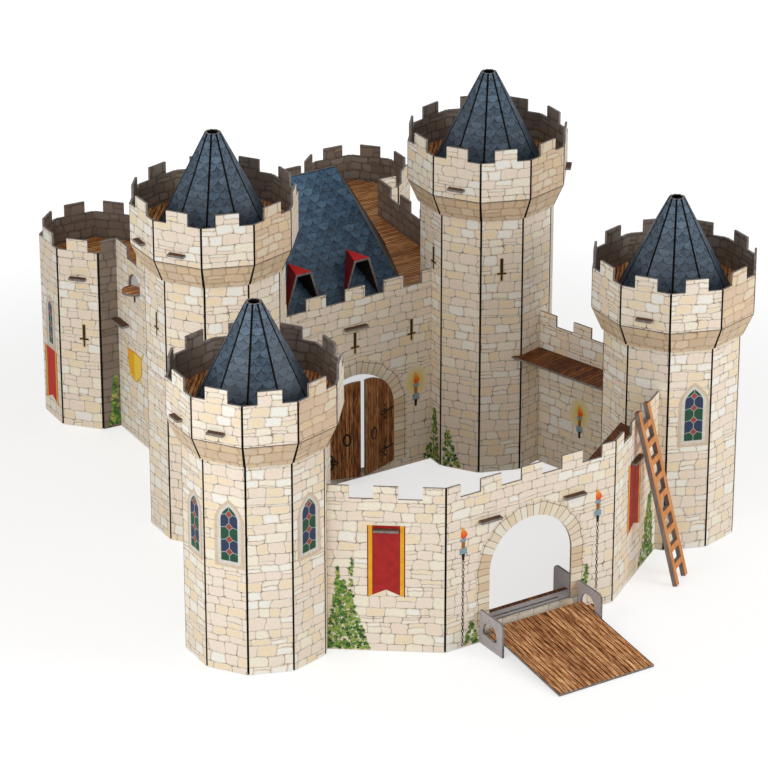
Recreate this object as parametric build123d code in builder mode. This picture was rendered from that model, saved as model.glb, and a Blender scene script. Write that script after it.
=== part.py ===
from build123d import *
from math import asin, atan2, ceil, cos, degrees, hypot, radians, sin, tan
import os

# Toy castle of folded, slotted greyboard with a drawbridge. Lengths are in millimetres.
# X runs along the gate wall, Y goes from the drawbridge to the back wall and Z is up.
# Plan places are measured from the middle of the front left tower, and "ground" moves
# them so that the origin lies on the floor in the middle of the whole castle.

# Board
board = 2.5
web = 0.4  # lining paper that still joins two panels behind a fold
fold_spread = 0.35  # how far each panel's print stays back from a fold
fit = 0.3  # gap between one board and the next
slot_gap = 0.25  # gap on each side of a tongue in its slot

# Towers
tower_sides = 10
tower_turn = -20.7  # angle of one fold, in degrees from X
tower_radius = 75  # over the folds
front_height = 231  # of a front tower's shaft, up to the foot of its cap
back_height = 300
front_spacing = 509.8
back_left_place = (108.2, 263.9)
back_right_place = (449.3, 261.8)

# Tower caps, floors and cones
cap_radius = 89.2
flare_height = 25.8
flare_spread = 0.7  # how far each panel draws back from the fold at the foot of the flare
groove = 0.5  # half the height of the scored line between flare and parapet
parapet_height = 44.3
cap_merlon = 14
cap_merlon_width = 24
floor_drop = 31.5  # from the crenels down to the tower floor
tab_width = 18
tab_reach = 6  # of every floor tab past the printed face
cone_radius = 61.5
cone_height = 103.9
cone_mouth = 8.7

# Battlements of the walls
crenel_width = 24.4
crenel_pitch = 49.1
gate_crenel = 169.8
wall_merlon = 13.9
keep_crenel = 214.5
curtain_crenel = 168
curtain_merlon = 12.8

# Gate
gate_x = 247.05
gate_y = -124.2
gate_width = 205.9
gate_root_left = (24.7, -35.5)  # ends of the wings inside the towers, from each middle
gate_root_right = (-29.2, -34.4)
wing_crenel = 35.5  # from the fold to the middle of the first crenel of a wing
gate_arch = 50
gate_sill = 20
gate_springing = 76

# Walkways
walkway_drop = 31.8  # from the crenels of the gate wall down to its walkway
walkway_depth = 43.5  # from the printed face of the wall
walkway_tab_width = 25.2
walkway_tab_spread = 102.8  # between the middles of the two tabs over the gate
wing_tab = 59.5  # from the fold to the middle of a wing's tab
right_walkway_depth = 39.5

# Drawbridge, its hinge plates and the threshold
plate_spacing = 120.2
plate_front = -165
plate_back = -81
plate_height = 37.4
plate_corner = 6
lap_height = 18.7
pivot_y = -142.3
pivot_z = 16
pivot_hole = 12.5
pivot_flat = 3.5  # from the pivot down to the flat of the hole
bridge_length = 119  # from the pivot to the tip
bridge_heel = 8.4  # behind the pivot
bridge_gap = 1.5
ear_length = 11
ear_reach = 3
threshold_back = -102
threshold_tongue = 10
threshold_slit = 80
threshold_slit_width = 3

# Keep
keep_x = 280
keep_y = 263
keep_arch = 50
keep_sill = 10
keep_springing = 75
door_slit = 0.5
door_swing = 19
deck_drop = 31  # from the crenels of the keep down to its deck
deck_tab_width = 27.7
bastion_radius = 64
bastion_turn = -71.5
left_bastion = (136, 581.2)
right_bastion = (475.8, 574.7)
left_wall_corner = (129.5, 522.4)
left_wall_root = (117, 300)
right_wall_corner = (472.5, 515.6)
right_wall_root = (452.7, 300)
keep_wall_crenel = 40  # from a wall's back corner to the middle of its first crenel
bastion_merlon = 24.5
bastion_tab_width = 19
balcony_place = 44.5  # from the back corner of the left wall
balcony_radius = 14
balcony_window_height = 17.8  # above the deck
shelf_drop = 49  # from the deck down to the lower floor
shelf_tab_start = 2
shelf_tab_width = 27
shelf_tab_reach = 9.5

# Roof of the keep and its dormers
ridge_height = 131.5  # above the deck
ridge_y = 391
ridge_length = 110
roof_front = 300
roof_front_width = 185
roof_back = 436
roof_back_width = 298
dormer_spacing = 74
dormer_height = 55.3  # above the deck
dormer_lift = 7.9  # from the deck up to a dormer's foot
dormer_top_width = 19.4
dormer_foot_width = 49.4

# Curtain walls, from the middle of the crenels
right_curtain_place = (491, 137.2)
right_curtain_angle = -74.7
right_curtain_half = 85
left_curtain_place = (54.1, 131.9)
left_curtain_angle = -110.7
left_curtain_half = 95

# Ladder
ladder_length = 195.7
ladder_width = 33.2
ladder_rail = 7
ladder_rung = 6.5
ladder_thickness = 2 * board
ladder_rungs = 9
ladder_lean = 14.1
ladder_place = 72.7  # along the right wing, from the fold

os.makedirs("parts", exist_ok=True)

# Sizes that follow from the ones above
half_side = 180 / tower_sides
step = 360 / tower_sides
corner_board = board / cos(radians(half_side))
bridge_tilt = degrees(asin(pivot_z / hypot(bridge_length, board / 2)) - atan2(board / 2, bridge_length))
bridge_tip = pivot_y - bridge_length * cos(radians(bridge_tilt)) - board / 2 * sin(radians(bridge_tilt))
castle_back = left_bastion[1] + bastion_radius * sin(radians(bastion_turn + 180))
plan_x = front_spacing / 2
plan_y = (bridge_tip + castle_back) / 2
cut = board + 10  # depth of a cut that starts 5 mm in front of a wall
gate_top = gate_crenel + wall_merlon
keep_top = keep_crenel + wall_merlon
curtain_top = curtain_crenel + curtain_merlon
walkway_top = gate_crenel - walkway_drop
deck_top = keep_crenel - deck_drop
balcony_window_top = deck_top + balcony_window_height
shelf_top = deck_top - shelf_drop
ridge_z = deck_top + ridge_height
dormer_top = deck_top + dormer_height
dormer_foot = deck_top + dormer_lift

ground = Plane((-plan_x, -plan_y, 0))


def direction(angle):
    return Vector(cos(radians(angle)), sin(radians(angle)))


def place(x, y, z=0):
    return Vector(x - plan_x, y - plan_y, z)


# Outward directions of the panels between corners that run left to right, seen from outside
def panel_normals(corners):
    runs = [(b - a).normalized() for a, b in zip(corners, corners[1:])]
    return [Vector(run.Y, -run.X) for run in runs]


# The same line of corners, moved inwards
def inset(corners, depth):
    normals = panel_normals(corners)
    points = [corners[0] - normals[0] * depth]
    for corner, before, after in zip(corners[1:-1], normals, normals[1:]):
        points.append(corner - (before + after) * (depth / (1 + before.dot(after))))
    points.append(corners[-1] - normals[-1] * depth)
    return points


# Section of a folded strip: the board is cut through at each outward fold, down to its lining
def folded_strip(corners):
    normals = panel_normals(corners)
    inner = inset(corners, board)
    face = [corners[0]]
    for corner, inside, before, after in zip(corners[1:-1], inner[1:-1], normals, normals[1:]):
        middle = (before + after).normalized()
        if before.cross(after).Z > 0:
            back = Vector(-before.Y, before.X) * fold_spread
            ahead = Vector(-after.Y, after.X) * fold_spread
            face += [inside + before * board - back, inside + middle * web, inside + after * board + ahead]
        else:
            face.append(corner)
    face.append(corners[-1])
    return face + inner[::-1]


# Corners of a tower's plan, with the first on the local X axis
def ring(radius):
    return [direction(step * k) * radius for k in range(tower_sides)]


# The same plan with a notch at each fold
def notched_ring(radius, depth=board, spread=fold_spread):
    inside = radius - depth / cos(radians(half_side))
    points = []
    for k in range(tower_sides):
        angle = step * k
        corner = direction(angle) * inside
        before = direction(angle - half_side)
        after = direction(angle + half_side)
        points.append(corner + before * depth - direction(angle + 90 - half_side) * spread)
        points.append(corner + direction(angle) * web)
        points.append(corner + after * depth + direction(angle + 90 + half_side) * spread)
    return points


# Plan of a tower with some clearance, in the castle's plan
def tower_plan(tower, gap=fit):
    middle = Vector(tower[0], tower[1])
    return [middle + direction(tower_turn + step * k) * (tower_radius + gap) for k in range(tower_sides)]


# Plane on a wall's printed face: X to the right as seen from outside, Y up, zero at a point
def wall_face(left, right, zero):
    run = (right - left).normalized()
    return Plane(origin=place(zero.X, zero.Y), x_dir=(run.X, run.Y, 0), z_dir=(run.Y, -run.X, 0))


# Towers: a folded shaft, a cap that hangs round its head, a floor and a cone.
# A tab list gives the sides of the cap that a floor tab passes through.
towers = {
    "front_left": (0, 0, front_height, (1, 5, 6)),
    "front_right": (front_spacing, 0, front_height, (1, 3, 6)),
    "back_left": (*back_left_place, back_height, (1, 5, 6)),
    "back_right": (*back_right_place, back_height, (1, 6, 9)),
}
side_reach = cap_radius * cos(radians(half_side))
crenel_half = cap_radius * sin(radians(half_side)) - cap_merlon_width / 2
fold = Vector(cap_radius, 0)
notch_top = fold + direction(90 + half_side) * crenel_half
notch_low = fold - direction(90 - half_side) * crenel_half
crenel_notch = [
    notch_top + direction(half_side) * 5,
    notch_top - direction(half_side) * 2 * board,
    notch_low - direction(-half_side) * 2 * board,
    notch_low + direction(-half_side) * 5,
    Vector(cap_radius + 8, 0),
]

for name, (x, y, height, tab_sides) in towers.items():
    base = Plane(origin=place(x, y), x_dir=tuple(direction(tower_turn)), z_dir=(0, 0, 1))
    crease = height + flare_height
    crenel = crease + parapet_height
    floor_top = crenel - floor_drop
    tab_places = [
        Location(tuple(direction(half_side + step * k) * side_reach), (0, 0, half_side + step * k))
        for k in tab_sides
    ]

    with BuildPart() as shaft:
        with BuildSketch(base):
            Polygon(*notched_ring(tower_radius), align=None)
            Polygon(*ring(tower_radius - corner_board), align=None, mode=Mode.SUBTRACT)
        extrude(amount=floor_top - board)
    shaft.part.label = f"{name}_tower_body"
    export_step(shaft.part, f"parts/{name}_tower_body.step")

    with BuildPart() as cap:
        with BuildSketch(base.offset(height)):
            Polygon(*notched_ring(tower_radius + fit + corner_board, spread=flare_spread), align=None)
        with BuildSketch(base.offset(crease - groove)):
            Polygon(*notched_ring(cap_radius - groove * 0.4), align=None)
        with BuildSketch(base.offset(crease)):
            Polygon(*notched_ring(cap_radius - corner_board + 3 * web, 2 * web), align=None)
        with BuildSketch(base.offset(crease + groove)):
            Polygon(*notched_ring(cap_radius), align=None)
        loft(ruled=True)
        with BuildSketch(base.offset(crease + groove)):
            Polygon(*notched_ring(cap_radius), align=None)
        extrude(amount=parapet_height + cap_merlon - groove)
        with BuildSketch(base.offset(height)):
            Polygon(*ring(tower_radius + fit), align=None)
        with BuildSketch(base.offset(crease)):
            Polygon(*ring(cap_radius - corner_board), align=None)
        loft(ruled=True, mode=Mode.SUBTRACT)
        with BuildSketch(base.offset(crease)):
            Polygon(*ring(cap_radius - corner_board), align=None)
        extrude(amount=parapet_height + cap_merlon, mode=Mode.SUBTRACT)
        with BuildSketch(base.offset(crenel)):
            with PolarLocations(0, tower_sides):
                Polygon(*crenel_notch, align=None)
        extrude(amount=cap_merlon, mode=Mode.SUBTRACT)
        with BuildSketch(base.offset(floor_top - board - slot_gap)):
            with Locations(*tab_places):
                Rectangle(20, tab_width + 2 * slot_gap)
        extrude(amount=board + 2 * slot_gap, mode=Mode.SUBTRACT)
    cap.part.label = f"{name}_tower_cap"
    export_step(cap.part, f"parts/{name}_tower_cap.step")

    with BuildPart() as floor:
        with BuildSketch(base.offset(floor_top - board)):
            Polygon(*ring(cap_radius - corner_board - fit), align=None)
            with Locations(*tab_places):
                Rectangle(2 * tab_reach, tab_width)
                with Locations((-board, 0)):
                    Rectangle(2 * board, tab_width)
        extrude(amount=board)
    floor.part.label = f"{name}_tower_floor"
    export_step(floor.part, f"parts/{name}_tower_floor.step")

    with BuildPart() as cone:
        with BuildSketch(base.offset(floor_top)):
            Polygon(*notched_ring(cone_radius), align=None)
        with BuildSketch(base.offset(floor_top + cone_height)):
            Polygon(*notched_ring(cone_mouth), align=None)
        loft(ruled=True)
        with BuildSketch(base.offset(floor_top)):
            Polygon(*ring(cone_radius - corner_board), align=None)
        with BuildSketch(base.offset(floor_top + cone_height)):
            Polygon(*ring(cone_mouth - corner_board), align=None)
        loft(ruled=True, mode=Mode.SUBTRACT)
    cone.part.label = f"{name}_tower_cone"
    export_step(cone.part, f"parts/{name}_tower_cone.step")

# Gate wall: one strip with two wings, and an arch, slots and battlements cut in it
front_left, front_right = towers["front_left"], towers["front_right"]
back_left, back_right = towers["back_left"], towers["back_right"]
gate_left = Vector(gate_x - gate_width / 2, gate_y)
gate_right = Vector(gate_x + gate_width / 2, gate_y)
gate_corners = [
    Vector(*gate_root_left),
    gate_left,
    gate_right,
    Vector(front_right[0] + gate_root_right[0], front_right[1] + gate_root_right[1]),
]
gate_face = wall_face(gate_left, gate_right, Vector(gate_x, gate_y))
left_wing = wall_face(gate_corners[0], gate_left, gate_left)
right_wing = wall_face(gate_right, gate_corners[3], gate_right)
gate_tabs = [(-walkway_tab_spread / 2, 0), (walkway_tab_spread / 2, 0)]
tab_slot = (walkway_tab_width + 2 * slot_gap, board + 2 * slot_gap)
plates = [(-plate_spacing / 2, lap_height / 2), (plate_spacing / 2, lap_height / 2)]
notch = 60  # height of the shape that cuts a crenel

with BuildPart() as gate_wall:
    with BuildSketch(ground):
        Polygon(*folded_strip(gate_corners), align=None)
    extrude(amount=gate_top)
    with BuildSketch(ground):
        Polygon(*tower_plan(front_left), align=None)
        Polygon(*tower_plan(front_right), align=None)
    extrude(amount=gate_top, mode=Mode.SUBTRACT)
    with BuildSketch(gate_face.offset(5)):
        with Locations((0, gate_springing)):
            Circle(gate_arch)
        with Locations((0, (gate_springing + gate_sill) / 2)):
            Rectangle(2 * gate_arch, gate_springing - gate_sill)
        with Locations((0, gate_crenel + notch / 2)):
            with GridLocations(crenel_pitch, 0, 4, 1):
                Rectangle(crenel_width, notch)
        with Locations((0, walkway_top - board / 2)):
            with Locations(*gate_tabs):
                Rectangle(*tab_slot)
        with Locations(*plates):
            Rectangle(board + 2 * slot_gap, lap_height)
    extrude(amount=-cut, mode=Mode.SUBTRACT)
    with BuildSketch(left_wing.offset(5)):
        with Locations((-wing_crenel, gate_crenel + notch / 2), (-wing_crenel - crenel_pitch, gate_crenel + notch / 2)):
            Rectangle(crenel_width, notch)
        with Locations((-wing_tab, walkway_top - board / 2)):
            Rectangle(*tab_slot)
    extrude(amount=-cut, mode=Mode.SUBTRACT)
    with BuildSketch(right_wing.offset(5)):
        with Locations((wing_crenel, gate_crenel + notch / 2), (wing_crenel + crenel_pitch, gate_crenel + notch / 2)):
            Rectangle(crenel_width, notch)
        with Locations((wing_tab, walkway_top - board / 2)):
            Rectangle(*tab_slot)
    extrude(amount=-cut, mode=Mode.SUBTRACT)
gate_wall.part.label = "gate_wall"
export_step(gate_wall.part, "parts/gate_wall.step")

# Gate walkway: a floor behind the gate wall, held by two tabs over the gate and one in each wing
left_run = (gate_left - gate_corners[0]).normalized()
right_run = (gate_corners[3] - gate_right).normalized()
tab_points = (
    (Vector(gate_x - walkway_tab_spread / 2, gate_y), Vector(1, 0)),
    (Vector(gate_x + walkway_tab_spread / 2, gate_y), Vector(1, 0)),
    (gate_left - left_run * wing_tab, left_run),
    (gate_right + right_run * wing_tab, right_run),
)
tab_length = board + 2 * fit + tab_reach
tab_middle = board + 2 * fit - tab_length / 2
with BuildPart() as gate_walkway:
    with BuildSketch(ground.offset(walkway_top - board)):
        Polygon(*inset(gate_corners, board + fit), *inset(gate_corners, walkway_depth)[::-1], align=None)
        Polygon(*tower_plan(front_left), align=None, mode=Mode.SUBTRACT)
        Polygon(*tower_plan(front_right), align=None, mode=Mode.SUBTRACT)
        for point, run in tab_points:
            with Locations(Location((point.X, point.Y, 0), (0, 0, degrees(atan2(run.Y, run.X))))):
                with Locations((0, tab_middle)):
                    Rectangle(walkway_tab_width, tab_length)
    extrude(amount=board)
gate_walkway.part.label = "gate_walkway"
export_step(gate_walkway.part, "parts/gate_walkway.step")

# Hinge plates: lapped with the gate wall, each with a D shaped hole for the drawbridge's ear
tongue_y = (gate_y + board + threshold_back) / 2
for name, side in (("left", -1), ("right", 1)):
    plate_x = gate_x + side * plate_spacing / 2
    plate_plane = Plane(origin=place(plate_x - board / 2, 0), x_dir=(0, 1, 0), z_dir=(1, 0, 0))
    with BuildPart() as plate:
        with BuildSketch(plate_plane):
            with Locations(((plate_front + plate_back) / 2, plate_height / 2)):
                outline = Rectangle(plate_back - plate_front, plate_height)
            fillet(outline.vertices().group_by(Axis.Y)[-1], plate_corner)
            with Locations((gate_y + board / 2, lap_height + plate_height / 2)):
                Rectangle(board + 2 * slot_gap, plate_height, mode=Mode.SUBTRACT)
            with Locations((tongue_y, gate_sill - board / 2)):
                Rectangle(threshold_tongue + 2 * slot_gap, board + 2 * slot_gap, mode=Mode.SUBTRACT)
        extrude(amount=board)
        with BuildSketch(plate_plane):
            with Locations((pivot_y, pivot_z)):
                Circle(pivot_hole)
            with Locations((pivot_y, pivot_z - pivot_flat - pivot_hole)):
                Rectangle(3 * pivot_hole, 2 * pivot_hole, mode=Mode.SUBTRACT)
        extrude(amount=board, mode=Mode.SUBTRACT)
    plate.part.label = f"hinge_plate_{name}"
    export_step(plate.part, f"parts/hinge_plate_{name}.step")

# Threshold: lies behind the sill with a tongue through each hinge plate
threshold_front = gate_y + board + fit
threshold_depth = threshold_back - threshold_front
with BuildPart() as threshold_board:
    with BuildSketch(ground.offset(gate_sill - board)):
        with Locations((gate_x, threshold_front + threshold_depth / 2)):
            Rectangle(plate_spacing - board - 2 * fit, threshold_depth)
        with Locations((gate_x, tongue_y)):
            Rectangle(plate_spacing + board + 2, threshold_tongue)
        with Locations((gate_x, threshold_front + threshold_depth / 4)):
            Rectangle(threshold_slit, threshold_slit_width, mode=Mode.SUBTRACT)
    extrude(amount=board)
threshold_board.part.label = "threshold_board"
export_step(threshold_board.part, "parts/threshold_board.step")

# Drawbridge: lies with its tip on the floor, and turns on an ear at each side
bridge_plane = Plane(
    origin=place(gate_x, pivot_y, pivot_z),
    x_dir=(1, 0, 0),
    z_dir=(0, -sin(radians(bridge_tilt)), cos(radians(bridge_tilt))),
)
bridge_width = plate_spacing - board - 2 * bridge_gap
with BuildPart() as drawbridge:
    with BuildSketch(bridge_plane.offset(-board / 2)):
        with Locations((0, (bridge_heel - bridge_length) / 2)):
            Rectangle(bridge_width, bridge_length + bridge_heel)
        with Locations((0, -ear_length / 2)):
            Rectangle(plate_spacing + board + 2 * ear_reach, ear_length)
    extrude(amount=board)
drawbridge.part.label = "drawbridge"
export_step(drawbridge.part, "parts/drawbridge.step")

# Keep front wall, with two door leaves that are flaps of the same board
keep_left = Vector(back_left[0] + 35, keep_y)
keep_right = Vector(back_right[0] - 30, keep_y)
keep_face = wall_face(keep_left, keep_right, Vector(keep_x, keep_y))
leaf = keep_arch - door_slit
with BuildPart() as keep_front_wall:
    with BuildSketch(ground):
        Polygon(*folded_strip([keep_left, keep_right]), align=None)
    extrude(amount=keep_top)
    with BuildSketch(ground):
        Polygon(*tower_plan(back_left), align=None)
        Polygon(*tower_plan(back_right), align=None)
    extrude(amount=keep_top, mode=Mode.SUBTRACT)
    with BuildSketch(keep_face.offset(5)):
        with Locations((0, keep_springing)):
            Circle(keep_arch)
        with Locations((0, (keep_springing + keep_sill) / 2)):
            Rectangle(2 * keep_arch, keep_springing - keep_sill)
        with Locations((0, keep_crenel + notch / 2)):
            with GridLocations(crenel_pitch, 0, 4, 1):
                Rectangle(crenel_width, notch)
        with Locations((0, deck_top - board / 2)):
            Rectangle(deck_tab_width + 2 * slot_gap, board + 2 * slot_gap)
    extrude(amount=-cut, mode=Mode.SUBTRACT)
    for side in (-1, 1):
        swing = radians(door_swing)
        leaf_plane = Plane(
            origin=place(keep_x + side * keep_arch, keep_y),
            x_dir=(cos(swing), side * sin(swing), 0),
            z_dir=(side * sin(swing), -cos(swing), 0),
        )
        with BuildSketch(leaf_plane):
            with Locations((-side * leaf, keep_springing)):
                Circle(leaf)
            with Locations((-side * leaf / 2, keep_springing - leaf)):
                Rectangle(leaf, 4 * leaf, mode=Mode.INTERSECT)
            with Locations((-side * (leaf - 0.8) / 2, (keep_springing + keep_sill) / 2)):
                Rectangle(leaf + 0.8, keep_springing - keep_sill)
            with Locations((0, keep_sill - 2 * leaf)):
                Rectangle(4 * leaf, 4 * leaf, mode=Mode.SUBTRACT)
        extrude(amount=-board)
keep_front_wall.part.label = "keep_front_wall"
export_step(keep_front_wall.part, "parts/keep_front_wall.step")


# Corners of a bastion, counted round from its front
def bastion_corner(middle, k):
    return Vector(*middle) + direction(bastion_turn + 45 * k) * bastion_radius


# Keep outer wall: one strip round the sides and the back, with a bastion at each back corner
right_points = [bastion_corner(right_bastion, k) for k in range(6)]
left_points = [bastion_corner(left_bastion, k) for k in range(2, 8)]
left_corner = Vector(*left_wall_corner)
right_corner = Vector(*right_wall_corner)
left_root = Vector(*left_wall_root)
keep_corners = [Vector(*right_wall_root), right_corner, *right_points, *left_points, left_corner, left_root]
left_face = wall_face(left_corner, left_root, left_corner)
right_face = wall_face(Vector(*right_wall_root), right_corner, right_corner)
back_face = wall_face(right_points[5], left_points[0], (right_points[5] + left_points[0]) / 2)
tab_face = wall_face(left_points[4], left_points[5], (left_points[4] + left_points[5]) / 2)
side = 2 * bastion_radius * sin(radians(22.5))
keep_crenel_places = [keep_wall_crenel + crenel_pitch * k for k in range(3)]
back_crenels = int((right_points[5] - left_points[0]).length // crenel_pitch)

with BuildPart() as keep_outer_wall:
    with BuildSketch(ground):
        Polygon(*folded_strip(keep_corners), align=None)
    extrude(amount=keep_top)
    with BuildSketch(ground):
        Polygon(*tower_plan(back_left), align=None)
        Polygon(*tower_plan(back_right), align=None)
    extrude(amount=keep_top, mode=Mode.SUBTRACT)
    with BuildSketch(left_face.offset(5)):
        with Locations(*[(along, keep_crenel + notch / 2) for along in keep_crenel_places]):
            Rectangle(crenel_width, notch)
        with Locations((balcony_place, balcony_window_top - balcony_radius - fit)):
            Circle(balcony_radius + fit)
        with Locations((balcony_place, (deck_top - board - slot_gap + balcony_window_top - balcony_radius - fit) / 2)):
            Rectangle(
                2 * (balcony_radius + fit),
                balcony_window_top - balcony_radius - fit - deck_top + board + slot_gap,
            )
        with Locations((balcony_place, deck_top - board - slot_gap - balcony_radius)):
            Rectangle(4 * balcony_radius, 2 * balcony_radius, mode=Mode.SUBTRACT)
        with Locations((shelf_tab_start + shelf_tab_width / 2, shelf_top - board / 2)):
            Rectangle(shelf_tab_width + 2 * slot_gap, board + 2 * slot_gap)
    extrude(amount=-cut, mode=Mode.SUBTRACT)
    with BuildSketch(right_face.offset(5)):
        with Locations(*[(-along, keep_crenel + notch / 2) for along in keep_crenel_places]):
            Rectangle(crenel_width, notch)
    extrude(amount=-cut, mode=Mode.SUBTRACT)
    with BuildSketch(back_face.offset(5)):
        with Locations((0, keep_crenel + notch / 2)):
            with GridLocations(crenel_pitch, 0, back_crenels, 1):
                Rectangle(crenel_width, notch)
    extrude(amount=-cut, mode=Mode.SUBTRACT)
    with BuildSketch(tab_face.offset(5)):
        with Locations((0, deck_top - board / 2)):
            Rectangle(bastion_tab_width + 2 * slot_gap, board + 2 * slot_gap)
    extrude(amount=-cut, mode=Mode.SUBTRACT)
    for points in (right_points, left_points):
        for first, second in zip(points, points[1:]):
            panel = wall_face(first, second, (first + second) / 2)
            with BuildSketch(panel.offset(5)):
                with Locations((0, keep_crenel + notch / 2)):
                    Rectangle(side + 5, notch)
                    Rectangle(bastion_merlon, notch, mode=Mode.SUBTRACT)
            extrude(amount=-cut, mode=Mode.SUBTRACT)
keep_outer_wall.part.label = "keep_outer_wall"
export_step(keep_outer_wall.part, "parts/keep_outer_wall.step")

# Keep deck: fills the keep between the walls, with tabs and a half round balcony
inner_keep = inset(keep_corners, board + fit)
left_run = (left_root - left_corner).normalized()
balcony_middle = left_corner + left_run * balcony_place
bastion_tab = (left_points[4] + left_points[5]) / 2
bastion_tab_angle = bastion_turn + 45 * 6.5
front_line = keep_y + board + fit
deck_corners = [Vector(inner_keep[0].X, front_line), *inner_keep, Vector(inner_keep[-1].X, front_line)]
with BuildPart() as keep_deck:
    with BuildSketch(ground.offset(deck_top - board)):
        Polygon(*deck_corners, align=None)
        Polygon(*tower_plan(back_left), align=None, mode=Mode.SUBTRACT)
        Polygon(*tower_plan(back_right), align=None, mode=Mode.SUBTRACT)
        with Locations((keep_x, keep_y + tab_middle)):
            Rectangle(deck_tab_width, tab_length)
        with Locations(Location((balcony_middle.X, balcony_middle.Y, 0), (0, 0, degrees(atan2(left_run.Y, left_run.X))))):
            Circle(balcony_radius)
        with Locations(Location((bastion_tab.X, bastion_tab.Y, 0), (0, 0, bastion_tab_angle))):
            with Locations((-tab_middle, 0)):
                Rectangle(tab_length, bastion_tab_width)
    extrude(amount=board)
keep_deck.part.label = "keep_deck"
export_step(keep_deck.part, "parts/keep_deck.step")

# Lower floor in the left bastion, with a long tab through the side wall
shelf_left = left_corner + left_run * (shelf_tab_start + shelf_tab_width + 4)
shelf_inner = inset([left_points[0] + Vector(1, 0), *left_points, left_corner, shelf_left], board + fit)
with BuildPart() as bastion_floor:
    with BuildSketch(ground.offset(shelf_top - board)):
        Polygon(
            *shelf_inner[1:],
            Vector(shelf_inner[1].X, shelf_inner[-1].Y),
            align=None,
        )
        tab_start = left_corner + left_run * shelf_tab_start
        tab_end = tab_start + left_run * shelf_tab_width
        out = Vector(left_run.Y, -left_run.X)
        Polygon(
            tab_start + out * shelf_tab_reach,
            tab_end + out * shelf_tab_reach,
            tab_end - out * (board + 2 * fit),
            tab_start - out * (board + 2 * fit),
            align=None,
        )
    extrude(amount=board)
bastion_floor.part.label = "bastion_floor"
export_step(bastion_floor.part, "parts/bastion_floor.step")


# Plane through three points, facing away from the roof when they run round it
def slope(a, b, c):
    return Plane(origin=a, x_dir=b - a, z_dir=(b - a).cross(c - a))


# Roof of the keep: four sloping panels, open below, on the deck
roof_corners = [
    place(keep_x - roof_front_width / 2, roof_front, deck_top),
    place(keep_x + roof_front_width / 2, roof_front, deck_top),
    place(keep_x + roof_back_width / 2, roof_back, deck_top),
    place(keep_x - roof_back_width / 2, roof_back, deck_top),
]
ridge_left = place(keep_x - ridge_length / 2, ridge_y, ridge_z)
ridge_right = place(keep_x + ridge_length / 2, ridge_y, ridge_z)
slopes = [
    slope(roof_corners[0], roof_corners[1], ridge_right),
    slope(roof_corners[1], roof_corners[2], ridge_right),
    slope(roof_corners[2], roof_corners[3], ridge_left),
    slope(roof_corners[3], roof_corners[0], ridge_left),
]
with BuildPart() as roof_room:
    with BuildSketch(Plane.XY.offset(deck_top)):
        Polygon(*[(corner.X, corner.Y) for corner in roof_corners], align=None)
    extrude(amount=ridge_z)
    for panel in slopes:
        split(bisect_by=panel.offset(-board), keep=Keep.BOTTOM)

with BuildPart() as roof:
    with BuildSketch(Plane.XY.offset(deck_top)):
        Polygon(*[(corner.X, corner.Y) for corner in roof_corners], align=None)
    extrude(amount=ridge_z)
    for panel in slopes:
        split(bisect_by=panel, keep=Keep.BOTTOM)
    add(roof_room.part, mode=Mode.SUBTRACT)
roof.part.label = "roof"
export_step(roof.part, "parts/roof.step")

# Dormers: a folded hood of three panels that stands on the front slope
slope_run = (ridge_y - roof_front) / (ridge_z - deck_top)
dormer_front = roof_front + (dormer_foot - deck_top) * slope_run
dormer_back = roof_front + (dormer_top - deck_top) * slope_run
for name, side in (("left", -1), ("right", 1)):
    dormer_x = keep_x - 1.5 + side * dormer_spacing / 2
    front_plane = Plane(origin=place(dormer_x, dormer_front), x_dir=(1, 0, 0), z_dir=(0, -1, 0))
    tip = place(dormer_x, dormer_back, dormer_top)
    foot_left = place(dormer_x - dormer_foot_width / 2, dormer_front, dormer_foot)
    foot_right = place(dormer_x + dormer_foot_width / 2, dormer_front, dormer_foot)
    top_left = place(dormer_x - dormer_top_width / 2, dormer_front, dormer_top)
    top_right = place(dormer_x + dormer_top_width / 2, dormer_front, dormer_top)
    cheeks = [slope(foot_left, top_left, tip), slope(foot_right, tip, top_right)]
    with BuildPart() as hood_room:
        with BuildSketch(front_plane.offset(5)):
            with Locations((0, dormer_top - board - 60)):
                Rectangle(2 * dormer_foot_width, 120)
        extrude(amount=-(dormer_back - dormer_front + 10))
        for cheek in cheeks:
            split(bisect_by=cheek.offset(-board), keep=Keep.BOTTOM)
    with BuildPart() as hood:
        with BuildSketch(front_plane):
            with Locations((0, dormer_top - 60)):
                Rectangle(2 * dormer_foot_width, 120)
        extrude(amount=-(dormer_back - dormer_front + 10))
        for cheek in cheeks:
            split(bisect_by=cheek, keep=Keep.BOTTOM)
        add(hood_room.part, mode=Mode.SUBTRACT)
        split(bisect_by=slopes[0].offset(fit), keep=Keep.TOP)
    hood.part.label = f"dormer_{name}"
    export_step(hood.part, f"parts/dormer_{name}.step")

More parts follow.
